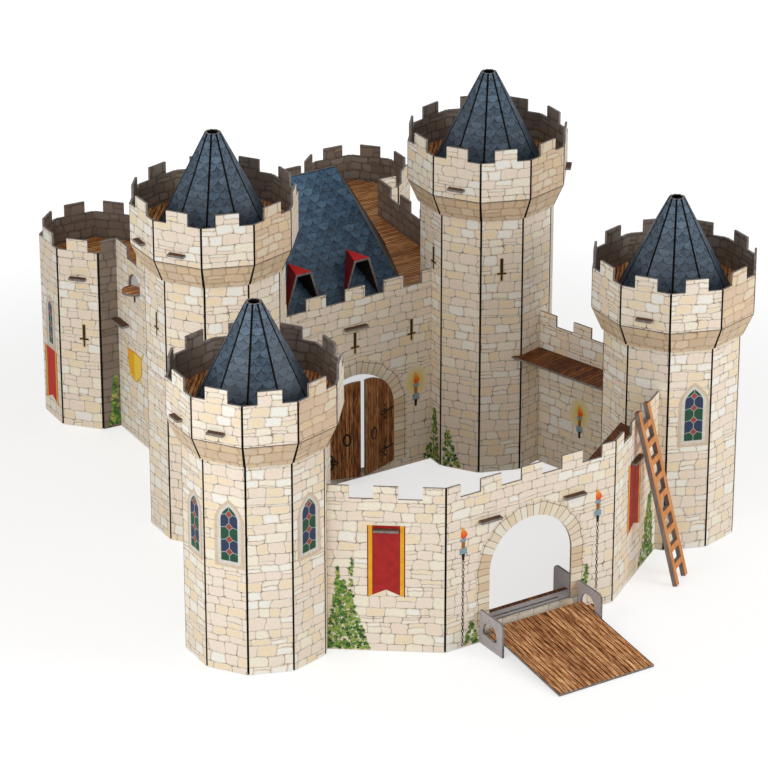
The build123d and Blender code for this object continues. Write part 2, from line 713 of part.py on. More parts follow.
# Curtain walls between the front and the back towers, each with a walkway on its inner side
curtains = (
    ("right", right_curtain_place, right_curtain_angle, right_curtain_half, (front_right, back_right)),
    ("left", left_curtain_place, left_curtain_angle, left_curtain_half, (front_left, back_left)),
)
for name, middle, angle, half, ends in curtains:
    along = direction(angle)
    middle = Vector(*middle)
    corners = [middle - along * half, middle + along * half]
    face = wall_face(corners[0], corners[1], middle)
    out = panel_normals(corners)[0]
    with BuildPart() as curtain:
        with BuildSketch(ground):
            Polygon(*folded_strip(corners), align=None)
            Polygon(*tower_plan(ends[0]), align=None, mode=Mode.SUBTRACT)
            Polygon(*tower_plan(ends[1]), align=None, mode=Mode.SUBTRACT)
        extrude(amount=curtain_top)
        with BuildSketch(face.offset(5)):
            with Locations((0, curtain_crenel + notch / 2)):
                with GridLocations(crenel_pitch, 0, 2, 1):
                    Rectangle(crenel_width, notch)
        extrude(amount=-cut, mode=Mode.SUBTRACT)
    curtain.part.label = f"{name}_curtain"
    export_step(curtain.part, f"parts/{name}_curtain.step")

    if name == "right":
        near, far = -fit, -right_walkway_depth
    else:
        near, far = board + fit, walkway_depth
    with BuildPart() as walkway:
        with BuildSketch(ground.offset(walkway_top - board)):
            Polygon(*inset(corners, near), *inset(corners, far)[::-1], align=None)
            Polygon(*tower_plan(ends[0]), align=None, mode=Mode.SUBTRACT)
            Polygon(*tower_plan(ends[1]), align=None, mode=Mode.SUBTRACT)
        extrude(amount=board)
    walkway.part.label = f"{name}_walkway"
    export_step(walkway.part, f"parts/{name}_walkway.step")

# Ladder: one flat board that leans on the battlement of the right wing
lean = radians(ladder_lean)
wing_run = (gate_corners[3] - gate_right).normalized()
wing_out = Vector(wing_run.Y, -wing_run.X)
ladder_foot = gate_top * tan(lean) + fit / cos(lean)
foot = gate_right + wing_run * ladder_place + wing_out * ladder_foot
ladder_plane = Plane(
    origin=place(foot.X, foot.Y),
    x_dir=(wing_run.X, wing_run.Y, 0),
    z_dir=(wing_out.X * cos(lean), wing_out.Y * cos(lean), sin(lean)),
)
rung_pitch = ladder_length / (ladder_rungs + 1)
with BuildPart() as ladder:
    with BuildSketch(ladder_plane):
        with Locations((0, ladder_length / 2)):
            Rectangle(ladder_width, ladder_length)
        with Locations((0, ladder_length / 2)):
            with GridLocations(0, rung_pitch, 1, ladder_rungs + 1):
                Rectangle(ladder_width - 2 * ladder_rail, rung_pitch - ladder_rung, mode=Mode.SUBTRACT)
        with Locations((0, 0), (0, ladder_length)):
            Rectangle(ladder_width - 2 * ladder_rail, rung_pitch - ladder_rung, mode=Mode.SUBTRACT)
    extrude(amount=ladder_thickness)
ladder.part.label = "ladder"
export_step(ladder.part, "parts/ladder.step")
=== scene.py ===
import math
from functools import partial

import bpy
import bmesh
import numpy as np
from mathutils import Matrix, Vector


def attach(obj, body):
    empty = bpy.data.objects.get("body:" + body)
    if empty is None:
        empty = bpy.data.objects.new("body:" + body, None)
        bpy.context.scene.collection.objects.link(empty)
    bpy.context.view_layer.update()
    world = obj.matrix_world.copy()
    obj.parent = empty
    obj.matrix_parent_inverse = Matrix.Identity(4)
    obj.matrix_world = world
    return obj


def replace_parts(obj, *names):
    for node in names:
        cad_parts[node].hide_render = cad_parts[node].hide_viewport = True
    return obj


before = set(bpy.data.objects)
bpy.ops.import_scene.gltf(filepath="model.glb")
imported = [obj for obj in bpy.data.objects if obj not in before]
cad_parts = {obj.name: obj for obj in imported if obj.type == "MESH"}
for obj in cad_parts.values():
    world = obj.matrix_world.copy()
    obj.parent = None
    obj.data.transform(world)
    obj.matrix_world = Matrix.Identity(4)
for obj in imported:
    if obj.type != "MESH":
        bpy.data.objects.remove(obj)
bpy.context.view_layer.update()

# Printed greyboard castle. Plan places are millimetres from the middle of the front left tower,
# and "spot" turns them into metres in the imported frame.
castle = {
    "planMiddle": (254.9, 190.678),
    "towers": {  # middle on plan and height of the shaft
        "front_left": (0, 0, 231),
        "front_right": (509.8, 0, 231),
        "back_left": (108.2, 263.9, 300),
        "back_right": (449.3, 261.8, 300),
    },
    "shaftReach": 71.33,  # from a tower's middle to its printed faces
    "capReach": 84.9,  # and to the faces of its parapet
    "crease": 25.8,  # fold of the cap above the top of the shaft
    "coneFoot": 38.6,
    "firstFold": -20.7,  # degrees
    "firstPanel": 177.3, "leftBastion": (136, 581.2), "rightBastion": (475.8, 574.7), "bastionReach": 59.13,
    "gateMiddle": (247.05, -124.2), "gateFolds": ((144.1, -124.2), (350, -124.2)), "keepDoor": (280, 263),
    "leftWall": (129.5, 522.4), "rightCurtain": (491, 137.2), "leftCurtain": (54.1, 131.9),
    "printLift": 0.12,  # how far the pictures stand in front of the walls
}
print("castle frame loaded:", len(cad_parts), "parts")


def spot(x, y, z=0):  # plan millimetres, moved by the plan's middle, in metres
    return np.array([x - castle["planMiddle"][0], y - castle["planMiddle"][1], z]) / 1000


def heading(angle):  # unit vector at an angle in degrees from X
    return np.array([math.cos(math.radians(angle)), math.sin(math.radians(angle)), 0])


def bearing(vectors):  # degrees from X on plan
    return np.degrees(np.arctan2(vectors[:, 1], vectors[:, 0]))


def paint(colour):  # a seen colour (0 to 255) as linear values
    seen = np.array(colour) / 255
    flat = np.where(seen > 0.04045, ((seen + 0.055) / 1.055) ** 2.4, seen / 12.92)
    return (*flat.tolist(), 1)


# Shader helpers: each adds one node and gives back its output
def wire(tree, kind, values=(), out=0, **settings):
    node = tree.nodes.new("ShaderNode" + kind)
    for name, value in settings.items():
        setattr(node, name, value)
    for slot, value in values.items() if isinstance(values, dict) else enumerate(values):
        if isinstance(value, bpy.types.NodeSocket):
            tree.links.new(value, node.inputs[slot])
        else:
            node.inputs[slot].default_value = value
    return node.outputs[out]


def grow(kind, values, **settings):  # a node in its first socket's tree
    inputs = values.values() if isinstance(values, dict) else values
    tree = next(value.id_data for value in inputs if isinstance(value, bpy.types.NodeSocket))
    return wire(tree, kind, values, **settings)


def calc(operation, *values):  # one step of arithmetic
    return grow("Math", values, operation=operation)


plus, minus, times, over, timesPlus, above, absolute, whole, rest = (
    partial(calc, operation)
    for operation in "ADD SUBTRACT MULTIPLY DIVIDE MULTIPLY_ADD GREATER_THAN ABSOLUTE FLOOR FRACT".split()
)


def odd(row):  # 1 for every second row, else 0
    return calc("FLOORED_MODULO", row, 2)


def blend(factor, first, second, how="MIX"):  # colour = first * (1 - factor) + second * factor
    first, second = (paint(part) if isinstance(part, tuple) else part for part in (first, second))
    return grow("Mix", {0: factor, 6: first, 7: second}, out=2, data_type="RGBA", blend_type=how)


def dimmed(colour, level):  # colour * level
    return blend(1, colour, grow("CombineColor", (level, level, level)), "MULTIPLY")


def between(value, low, high, first=0, second=1):  # soft step from first to second
    return grow("MapRange", (value, low, high, first, second), interpolation_type="SMOOTHSTEP")


def tones(value, stops, steps=False):  # a ramp, or one colour for each step
    node = grow("ValToRGB", (value,)).node
    node.color_ramp.interpolation = "CONSTANT" if steps else "LINEAR"
    marks = node.color_ramp.elements
    while len(marks) < len(stops):
        marks.new(0.5)
    for mark, (place, colour) in zip(marks, stops):
        mark.position = place
        mark.color = paint(colour)
    return node.outputs[0]


def noise(vector, scale, detail=2, rough=0.5):
    return grow("TexNoise", {"Vector": vector, "Scale": scale, "Detail": detail, "Roughness": rough})


def moved(vector, x, y):  # so that one noise can serve twice
    return grow("VectorMath", (vector, (x, y, 0)), operation="ADD")


def pair(x, y):  # vector of two values
    return grow("CombineXYZ", (x, y))


def cells(along, wander, feature="F1", out="Color"):  # 1D cells of uneven length along a line
    values = {"W": along, "Scale": 1, "Randomness": wander}
    return grow("TexVoronoi", values, out=out, voronoi_dimensions="1D", feature=feature)


def inputsOf(finish):
    return finish.node_tree.nodes["Principled BSDF"].inputs


def newFinish(name, rough=0.5, gloss=0.35):
    finish = bpy.data.materials.new(name)
    finish.use_nodes = True
    inputsOf(finish)["Roughness"].default_value = rough
    inputsOf(finish)["Specular IOR Level"].default_value = gloss
    return finish


def newPrint(name, rough=0.5, gloss=0.35):  # a finish, its panel's UV, and millimetres across and up
    finish = newFinish(name, rough, gloss)
    uv = wire(finish.node_tree, "UVMap", uv_map="panel")
    apart = grow("SeparateXYZ", (uv,)).node.outputs
    return finish, uv, times(apart[0], 1000), times(apart[1], 1000)


def dress(finish, colour, grain=None, rough=(0.42, 0.58), depth=0):
    # the grain gives the roughness (between two values) and a fine relief
    join, inputs = finish.node_tree.links.new, inputsOf(finish)
    join(colour, inputs["Base Color"])
    if grain is not None:
        join(between(grain, 0.2, 0.8, *rough), inputs["Roughness"])
    if depth:
        bump = grow("Bump", {"Strength": 0.35, "Distance": depth, "Height": grain})
        join(bump, inputs["Normal"])
    return finish


paperDepth = 0.00006  # metres, relief of the printed paper

# Printed stone: wavy rows of uneven, rounded stones with thin lines between them
stonework = {
    "row": (10.4, 0.7), "stone": (16.6, 0.92),  # height or length, and how uneven it is
    "wave": 6, "sway": 9,
    "wobble": (2.2, 2.4),  # of the rows and of the joints
    "doubled": 0.8,  # stones above this tone are two thin ones
    "corner": 3.2, "line": (0.1, 0.5),
}
stones = {  # material, colour of the gaps, of the lines, and five tones
    "stone": (
        "printedStone", (248, 235, 216), (134, 110, 88),
        ((252, 234, 214), (253, 233, 199), (255, 252, 242), (252, 236, 219), (255, 246, 224)),
    ),
    # darker stone printed on inner faces, also used as a painted shadow on one face of the left bastion
    "stoneInside": (
        "printedStoneInside", (126, 113, 102), (74, 62, 54),
        ((132, 117, 107), (142, 127, 112), (148, 139, 128), (137, 123, 112), (141, 127, 115)),
    ),
    "stoneTan": (
        "printedStoneTan", (228, 200, 168), (156, 128, 98),
        ((230, 202, 172), (238, 212, 172), (238, 222, 196), (232, 206, 178), (237, 214, 178)),
    ),
    # a darker, warmer copy of the stone for the flares that face downwards: painted shade
    "stoneFlare": (
        "printedStoneFlare", (218, 191, 158), (156, 128, 100),
        ((224, 197, 164), (233, 206, 168), (235, 214, 184), (226, 201, 172), (233, 208, 174)),
    ),
}


def stoneFinish(name, base, lines, shades):  # line = where a row line, joint or split is near
    finish, uv, across, up = newPrint(name)
    drift, sway, wobble = (
        minus(noise(place, scale), 0.5)
        for place, scale in ((uv, 42), (moved(uv, 3.1, 7.7), 55), (moved(uv, 5.3, 1.9), 200))
    )
    (rowHeight, rowWander), (stoneLength, stoneWander) = stonework["row"], stonework["stone"]
    rowWobble, jointWobble = stonework["wobble"]
    level = timesPlus(drift, stonework["wave"], up)
    rowLine = over(timesPlus(wobble, rowWobble, level), rowHeight)
    rowEdge = cells(rowLine, rowWander, "DISTANCE_TO_EDGE", "Distance")
    rowMiddle = minus(rowLine, cells(rowLine, rowWander, out="W"))
    swayed = timesPlus(sway, stonework["sway"], timesPlus(wobble, jointWobble, across))
    jointLine = over(timesPlus(cells(rowLine, rowWander), 437, swayed), stoneLength)
    jointEdge = cells(jointLine, stoneWander, "DISTANCE_TO_EDGE", "Distance")
    tone = grow("SeparateColor", (cells(jointLine, stoneWander),)).node.outputs
    double = above(tone[1], stonework["doubled"])
    splitEdge = timesPlus(minus(1, double), 60, times(absolute(rowMiddle), rowHeight))
    nearest = calc("SMOOTH_MIN", times(rowEdge, rowHeight), times(jointEdge, stoneLength), stonework["corner"])
    nearest = calc("SMOOTH_MIN", nearest, splitEdge, 1.4)
    upper = times(above(rowMiddle, 0), double)
    pick = rest(timesPlus(upper, 0.43, tone[0]))
    fill = tones(pick, [(0.2 * k, shade) for k, shade in enumerate(shades)], True)
    mottle = noise(uv, 330, 3, 0.6)
    stone = blend(between(nearest, 0.7, 1.8), base, fill)
    worn = between(noise(uv, 95), 0.3, 0.7, 0.35, 0.9)
    line = times(between(nearest, *stonework["line"], 1, 0), worn)
    drawn = blend(line, dimmed(stone, between(mottle, 0.25, 0.75, 0.94, 1.03)), lines)
    return dress(finish, drawn, mottle, depth=paperDepth)


# Printed slates: round ended scales, each row moved by half a scale
slates = {  # material, width, row and radius of the scales, painted shade darker at the foot and painted light at the crown (from, to, foot, crown), three tones
    "coneSlate": (
        "printedSlateCone", 13.2, 7.4, 6.9, (0, 105, 0.62, 1.12), ((56, 72, 88), (82, 102, 122), (110, 132, 152)),
    ),
    "roofSlate": (
        "printedSlateRoof", 12, 8.2, 6.3, (0, 120, 0.58, 1.1), ((52, 80, 108), (78, 116, 150), (114, 154, 186)),
    ),
    # a darker copy of the roof slate for the hip ends turned to the sides: painted shade
    "roofEnd": ("printedSlateRoofEnd", 12, 8.2, 6.3, (0, 120, 0.7, 1), ((34, 34, 44), (50, 50, 62), (70, 70, 84))),
}
slateEdge = {"line": (26, 34, 44), "pale": (124, 144, 160)}


def slateFinish(name, wide, tall, reach, footShade, shades):
    # a scale's rim = distance from the middle of its round foot less the radius
    finish, uv, across, up = newPrint(name, gloss=0.4)
    row, column = whole(over(up, tall)), over(across, wide)
    shifted = plus(column, times(odd(row), 0.5))
    sideways = times(minus(rest(shifted), 0.5), wide)
    below = calc("MINIMUM", minus(times(rest(over(up, tall)), tall), reach), 0)
    rim = minus(calc("SQRT", plus(times(sideways, sideways), times(below, below))), reach)
    under = above(rim, 0)  # the scale of the row below shows there
    ownRow = minus(row, under)
    ownColumn = whole(plus(column, times(odd(ownRow), 0.5)))
    tone = grow("TexWhiteNoise", {"Vector": pair(ownColumn, ownRow)}, noise_dimensions="3D")
    cloud = noise(uv, 210, 3)
    mixed = timesPlus(cloud, 0.75, times(tone, 0.28))
    colour = tones(mixed, list(zip((0.28, 0.52, 0.78), shades)))
    pale = 0.4 * np.array(paint(slateEdge["pale"])) + 0.6 * np.array(paint(shades[2]))
    edgeLight = times(between(rim, -1.7, -0.6, 0, 0.6), minus(1, under))
    colour = blend(edgeLight, colour, pale.tolist())
    edgeLine = between(absolute(rim), 0.2, 0.8, 0.85, 0)
    shade = times(between(rim, 0, 3, 0.55, 0), under)
    drawn = blend(calc("MAXIMUM", edgeLine, shade), colour, slateEdge["line"])
    # darker towards the foot and lighter towards the crown: painted shade and painted light
    return dress(finish, dimmed(drawn, between(up, *footShade)), cloud, (0.38, 0.55), paperDepth)


# Printed planks: boards of one width with streaks and dark gaps
planks = {  # material, width, gap, stretch of the grain, contrast, three tones and the joint
    "bridge": (
        "printedBridgePlanks", 5.7, 1, 0.05, 2.5, ((104, 54, 28), (206, 138, 84), (252, 202, 146)), (50, 26, 16),
    ),
    "deck": (
        "printedDeckPlanks", 4.2, 0.8, 0.05, 1.7, ((134, 74, 36), (222, 152, 92), (254, 206, 144)), (70, 34, 16),
    ),
    "walk": (
        "printedWalkwayPlanks", 5.4, 0.7, 0.09, 1.7, ((60, 32, 16), (118, 66, 32), (184, 118, 64)), (38, 20, 12),
    ),
    "door": (
        "printedDoorPlanks", 4.6, 0.6, 0.06, 1.7, ((88, 48, 26), (170, 110, 64), (230, 174, 116)), (56, 30, 16),
    ),
}


def plankFinish(name, width, gap, stretch, contrast, shades, joint):
    # streaks = noise stretched along each board, from a place of its own
    finish, uv, across, up = newPrint(name, gloss=0.15)
    column = over(across, width)
    tone = grow("TexWhiteNoise", {"W": whole(column)}, noise_dimensions="1D")
    along = times(plus(up, times(tone, 300)), stretch)
    streaks = noise(pair(times(across, 1.1), along), 1, 4, 0.72)
    strong = timesPlus(minus(streaks, 0.5), contrast, 0.5)
    mixed = timesPlus(minus(tone, 0.5), 0.2, strong)
    colour = tones(mixed, list(zip((0.3, 0.55, 0.8), shades)))
    rim = times(minus(0.5, absolute(minus(rest(column), 0.5))), width)
    ragged = timesPlus(minus(streaks, 0.5), 2.4, rim)
    dark = between(ragged, gap * 0.4, gap, 0.9, 0)
    return dress(finish, blend(dark, colour, joint), streaks, (0.42, 0.6), paperDepth)


# Plainer boards: core, black painted shade in fold grooves and inside dormers and cones, the dormers' painted
# light and shade, and the ladder
def boardFinish(name, dark, light, scale=260, stretch=1, rough=(0.6, 0.8)):
    finish = newFinish(name, gloss=0.25)
    place = wire(finish.node_tree, "TexCoord", out=3)
    grown = grow("VectorMath", (place, (1, 1, stretch)), operation="MULTIPLY")
    fibre = noise(grown, scale, 4, 0.65)
    return dress(finish, tones(fibre, ((0.3, dark), (0.7, light))), fibre, rough, 0.0001)


boards = {  # material, dark and light colour, size of the fibres and their stretch
    "core": ("greyBoardEdge", (104, 98, 94), (158, 152, 147)),
    "grey": ("greyBoardFace", (174, 167, 168), (192, 186, 187), 150),
    # dark brown for the tops of tabs that come through walls: plank brown darkened as painted shade
    "tab": ("printedTab", (70, 46, 32), (108, 76, 54), 150),
    "trim": ("roofTrim", (116, 106, 98), (152, 142, 132), 200),
    # near black for faces inside the dormers and the cones: painted shade
    "dormerInside": ("dormerInside", (22, 20, 22), (46, 42, 44), 160),
    "shutter": ("shutterGrey", (198, 198, 202), (218, 218, 220), 150),
    # near black for board edges inside the fold grooves and the cap's crease: painted shade
    "fold": ("scoredFold", (16, 13, 12), (34, 29, 26)),
    # one red as a lit copy for the hoods' tops and a darker shaded copy for their sides: painted light and shade
    "redTop": ("dormerTopRed", (196, 26, 26), (226, 46, 40), 120),
    "redSide": ("dormerSideRed", (110, 16, 20), (146, 28, 30), 120),
    "ladder": ("ladderTimber", (196, 120, 62), (234, 166, 104), 180, 0.15),
    "ladderEdge": ("ladderEdge", (118, 100, 92), (152, 134, 126), 220, 0.3),
    "ladderHole": ("ladderHole", (108, 62, 36), (156, 98, 60), 220, 0.3),
}
finishes = {
    look: make(*row)
    for make, rows in ((stoneFinish, stones), (slateFinish, slates), (plankFinish, planks), (boardFinish, boards))
    for look, row in rows.items()
}
print("finishes made:", len(finishes))


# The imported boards: a copy of each, with panel coordinates and finishes
def readAll(items, name, size=1, kind=float):  # one property of all items, as an array
    values = np.empty(len(items) * size, kind)
    items.foreach_get(name, values)
    return values.reshape(-1, size) if size > 1 else values


def faceFacts(mesh):  # of all faces; width = twice the area / perimeter
    faces = mesh.polygons
    start, total = readAll(faces, "loop_start", 1, int), readAll(faces, "loop_total", 1, int)
    corner = readAll(mesh.loops, "vertex_index", 1, int)
    points = readAll(mesh.vertices, "co", 3)[corner]
    owner = np.repeat(np.arange(len(faces)), total)
    following = np.arange(len(corner)) + 1
    following[start + total - 1] = start
    around = np.bincount(owner, np.linalg.norm(points[following] - points, axis=1), len(faces))
    width = 2000 * readAll(faces, "area") / around
    return readAll(faces, "center", 3), readAll(faces, "normal", 3), width, points, owner


def addObject(name, data):
    thing = bpy.data.objects.new(name, data)
    bpy.context.scene.collection.objects.link(thing)
    return thing


def addPiece(name, mesh, body):
    piece = addObject(name, mesh)
    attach(piece, body)
    return piece


def boardPiece(node, slot, rule, looks, middle, turn=0, tabs=(), body="castle"):  # the last look is the tabs'
    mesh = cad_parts[node].data.copy()
    work = bmesh.new()
    work.from_mesh(mesh)
    bmesh.ops.remove_doubles(work, verts=work.verts, dist=0.000002)
    bmesh.ops.dissolve_limit(work, angle_limit=0.004, verts=work.verts, edges=work.edges)
    for x, y, facing in tabs:  # cut through each tab where it leaves its wall
        everything = work.verts[:] + work.edges[:] + work.faces[:]
        bmesh.ops.bisect_plane(work, geom=everything, dist=0.000001, plane_co=spot(x, y), plane_no=heading(facing))
    work.to_mesh(mesh)
    work.free()
    mesh.shade_flat()
    centre, normal, width, points, owner = faceFacts(mesh)
    # across = level direction along the face, up = square to it
    level = np.abs(normal[:, 2]) > 0.95
    across = np.stack([-normal[:, 1], normal[:, 0], np.zeros(len(normal))], 1)
    across[level] = heading(turn)
    across /= np.linalg.norm(across, axis=1)[:, None]
    up = np.cross(normal, across)
    up[level] = heading(turn + 90)
    away = points - spot(*middle)
    # each direction of wall has its own place in the print
    panel = np.where(level, 0, np.round(bearing(normal)) * 0.737)
    uv = np.stack([(away * across[owner]).sum(1) + panel[owner], (away * up[owner]).sum(1)], 1)
    while mesh.uv_layers:
        mesh.uv_layers.remove(mesh.uv_layers[0])
    mesh.uv_layers.new(name="panel").data.foreach_set("uv", uv.astype(np.float32).ravel())
    mesh.materials.clear()
    for look in looks:
        mesh.materials.append(finishes[look])
    plan = centre[:, :2] * 1000 + castle["planMiddle"]
    chosen = rule(plan, centre[:, 2] * 1000, normal, width)
    # tab tops beyond their walls take the last look, plank brown with painted shade
    for x, y, facing in tabs:
        away = plan - (x, y)
        beyond = (away @ heading(facing)[:2] > 0.2) & (np.hypot(away[:, 0], away[:, 1]) < 24)
        chosen = np.where(beyond & (normal[:, 2] > 0.5), len(looks) - 1, chosen)
    mesh.polygons.foreach_set("material_index", chosen.astype(np.int32))
    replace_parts(addPiece(node + "_print", mesh, body), node)


# Rules: which of its board's looks each face gets
boardEdges = {"narrow": 2.95, "foldReach": 2.6, "grooveReach": 2.4, "crease": (0.7, 1.2), "tanSide": -74.7}


def cutEdges(width, chosen, look):  # narrow faces are cut edges
    return np.where(width < boardEdges["narrow"], look, chosen)


def foldedRule(plan, normal, width, chosen, folds):  # cut edges, and black painted shade where a groove is at a fold
    gaps = np.linalg.norm(plan[:, None] - folds, axis=2).min(1)
    grooveShade = (gaps < boardEdges["foldReach"]) & (np.abs(normal[:, 2]) < 0.5) & (width < boardEdges["narrow"])
    return np.where(grooveShade, 3, cutEdges(width, chosen, 2))


def towerRule(middle, crease, plan, height, normal, width):
    away = plan - middle
    reach = np.hypot(away[:, 0], away[:, 1])
    angle = bearing(away) - castle["firstFold"]
    aside = np.abs(reach * np.sin(np.radians((angle + 18) % 36 - 18)))
    outward = (normal[:, :2] * away).sum(1) / np.maximum(reach, 1)
    chosen = np.where(outward > 0, 0, 1)
    # outward faces turned downwards, the flares, take the darker copy of the stone as painted shade
    chosen = np.where((normal[:, 2] < -0.2) & (outward > 0), 2, chosen)
    # board edges in the V-grooves at the folds and in the cap's crease take the black painted shade
    grooveShade = (aside < boardEdges["grooveReach"]) & (width < boardEdges["narrow"])
    grooveShade &= (np.abs(normal[:, 2]) < 0.9) & (np.abs(outward) < 0.9)
    chosen = np.where(grooveShade, 4, cutEdges(width, chosen, 3))
    if crease:
        tall, wide = boardEdges["crease"]
        chosen = np.where((np.abs(height - crease) < tall) & (width < wide), 4, chosen)
        toRight = np.abs((bearing(normal) - boardEdges["tanSide"] + 180) % 360 - 180) < 18
        chosen = np.where((chosen == 0) & toRight, 5, chosen)
    return chosen


def floorRule(plan, height, normal, width):
    return np.where(np.abs(normal[:, 2]) < 0.5, 2, np.where(normal[:, 2] > 0, 0, 1))


def gateRule(plan, height, normal, width):
    return foldedRule(plan, normal, width, np.where(normal[:, 1] > 0, 1, 0), castle["gateFolds"])


def frontRule(plan, height, normal, width):  # the door leaves stand in front of the wall's face
    leaf = (plan[:, 1] < 262.9) & (np.abs(plan[:, 0] - 280) < 50)
    return cutEdges(width, np.where(leaf, 2, np.where(normal[:, 1] > 0, 1, 0)), 3)


bastionFolds = [
    middle + 64 * heading(-71.5 + 45 * k)[:2]
    for middle, first in ((castle["rightBastion"], 0), (castle["leftBastion"], 2))
    for k in range(first, first + 6)
]


def keepRule(plan, height, normal, width):  # outward = away from the keep's or a bastion's middle
    centre = np.tile((300.0, 440.0), (len(plan), 1))
    for bastion in (castle["rightBastion"], castle["leftBastion"]):
        close = np.linalg.norm(plan - bastion, axis=1) < 70
        centre[close] = bastion
    outward = (normal[:, :2] * (plan - centre)).sum(1)
    chosen = np.where(outward > 0, 0, 1)
    # the left bastion's face turned to 266 degrees, beside the keep's left wall, takes the dark inside stone as a
    # painted shadow
    shadowedBeside = (normal @ heading(266) > 0.98) & close & (outward > 0)
    return foldedRule(plan, normal, width, np.where(shadowedBeside, 1, chosen), bastionFolds)


def curtainRule(facing, plan, height, normal, width):
    return cutEdges(width, np.where(normal @ heading(facing) > 0, 0, 1), 2)


def thresholdRule(plan, height, normal, width):
    return np.where(np.abs(normal[:, 2]) < 0.5, 1, np.where(plan[:, 1] > -108, 2, 0))


def plateRule(plan, height, normal, width):
    return np.where(np.abs(normal[:, 0]) > 0.5, 0, 1)


def roofRule(plan, height, normal, width):
    # faces turned to the sides take the darker hip-end slate as painted shade
    return np.where(normal[:, 2] > 0.2, np.where(np.abs(normal[:, 0]) > 0.5, 2, 0), 1)


def dormerRule(centreX, plan, height, normal, width):
    # tops take the lit red and the sides the shaded red
    chosen = np.where(normal[:, 2] > 0.9, 0, 1)
    # faces turned inwards or downwards inside the hood take the near black painted shade
    inward = (normal[:, 0] * (plan[:, 0] - centreX) < 0) | (normal[:, 2] < -0.2)
    return cutEdges(width, np.where(inward, 3, chosen), 2)


def ladderRule(plan, height, normal, width):
    facing = np.abs(normal[:, :2] @ (0.5669, -0.8238)) > 0.8
    return np.where(facing, 0, np.where(width > 3.4, 1, 2))


looks = {
    "tower": ("stone", "stoneInside", "stoneFlare", "core", "fold", "stoneTan"),
    "cone": ("coneSlate", "dormerInside", "coneSlate", "core", "fold"),
    "wall": ("stone", "stoneInside", "core", "fold"), "deck": ("deck", "grey", "core", "tab"),
    "walk": ("walk", "grey", "core", "tab"), "dormer": ("redTop", "redSide", "core", "dormerInside"),
}
tabs = {  # place and direction of the tabs that come through walls
    "gate": [(195.65, -124.2, -90), (298.45, -124.2, -90), (96.3, -88.7, -126.6), (399.1, -90.5, -55.49)],
    "threshold": [(247.05 + across, -108, 90) for across in (-40, 0, 40)],
    "deck": [(280, 263, -90), (91.4, 542.4, 221)],
    "shelf": [(128.6, 506.9, 176.78)],
}
for towerName, (*middle, towerHeight) in castle["towers"].items():
    tower, sides = towerName + "_tower_", [castle["firstPanel"] + 36 * k for k in range(10)]
    capSides = [(*(middle + castle["capReach"] * heading(side)[:2]), side) for side in sides]
    plainRule = partial(towerRule, middle, None)
    capRule = partial(towerRule, middle, towerHeight + castle["crease"])
    boardPiece(tower + "body", "stone_print", plainRule, looks["tower"], middle)
    boardPiece(tower + "cap", "stone_print", capRule, looks["tower"], middle)
    coneFoot = (*middle, towerHeight + castle["coneFoot"])
    boardPiece(tower + "cone", "slate_print", plainRule, looks["cone"], coneFoot)
    boardPiece(tower + "floor", "plank_print", floorRule, looks["deck"], middle, -38.7, capSides)

gate, door = castle["gateMiddle"], castle["keepDoor"]
rightCurtain, leftCurtain = castle["rightCurtain"], castle["leftCurtain"]
for row in (
    ("gate_wall", "stone_print", gateRule, looks["wall"], gate),
    ("keep_front_wall", "stone_print", frontRule, ("stone", "stoneInside", "door", "core"), door),
    ("keep_outer_wall", "stone_print", keepRule, looks["wall"], (300, 440)),
    ("right_curtain", "stone_print", partial(curtainRule, -164.7), ("stone", "stone", "core"), rightCurtain),
    ("left_curtain", "stone_print", partial(curtainRule, 159.3), ("stone", "stoneInside", "core"), leftCurtain),
    ("gate_walkway", "plank_print", floorRule, looks["walk"], gate, 0, tabs["gate"]),
    ("right_walkway", "plank_print", floorRule, looks["walk"], rightCurtain, -74.7),
    ("left_walkway", "plank_print", floorRule, looks["walk"], leftCurtain, -110.7),
    ("keep_deck", "plank_print", floorRule, looks["deck"], (280, 400), -90, tabs["deck"]),
    ("bastion_floor", "plank_print", floorRule, looks["walk"], castle["leftBastion"], -90, tabs["shelf"]),
    ("threshold_board", "plank_print", thresholdRule, ("grey", "core", "walk"), gate, 0, tabs["threshold"]),
    *(("hinge_plate_" + side, "stone_print", plateRule, ("grey", "core"), gate) for side in ("left", "right")),
    ("drawbridge", "plank_print", floorRule, ("bridge", "bridge", "core"), (247.05, -142.3), 0, (), "drawbridge"),
    ("roof", "slate_print", roofRule, ("roofSlate", "core", "roofEnd"), (280, 391, 183.5)),
    ("dormer_left", "red_print", partial(dormerRule, 241.5), looks["dormer"], (241.5, 300, 190)),
    ("dormer_right", "red_print", partial(dormerRule, 315.5), looks["dormer"], (315.5, 300, 190)),
    ("ladder", "plank_print", ladderRule, ("ladder", "ladderEdge", "ladderHole"), (409.9, -83)),
):
    boardPiece(*row)
print("boards dressed")


# Pictures printed on the walls: flat grids just in front of them
def wallPlane(x, y, facing):  # through a plan point, facing in degrees
    return {"origin": np.array([x, y, 0]), "right": heading(facing + 90), "out": heading(facing)}


def shaftPlane(towerName, panel):  # panel k lies between folds k and k + 1
    facing = castle["firstPanel"] + 36 * panel
    middle = castle["towers"][towerName][:2]
    return wallPlane(*(middle + heading(facing)[:2] * castle["shaftReach"]), facing)


def bastionPlane(facing):  # a side of the left bastion
    return wallPlane(*(castle["leftBastion"] + heading(facing)[:2] * castle["bastionReach"]), facing)


gateFace = wallPlane(*gate, -90)
keepFace = wallPlane(*door, -90)
curtainFace = wallPlane(*rightCurtain, -164.7)
wingLeft = wallPlane(144.1, -124.2, -126.59945)
wingRight = wallPlane(350, -124.2, -55.48676)
leftWall = wallPlane(*castle["leftWall"], 176.77822)
bastionSide = bastionPlane(176)


def newSheet():
    return {"points": [], "faces": [], "uv": [], "tone": [], "count": 0}


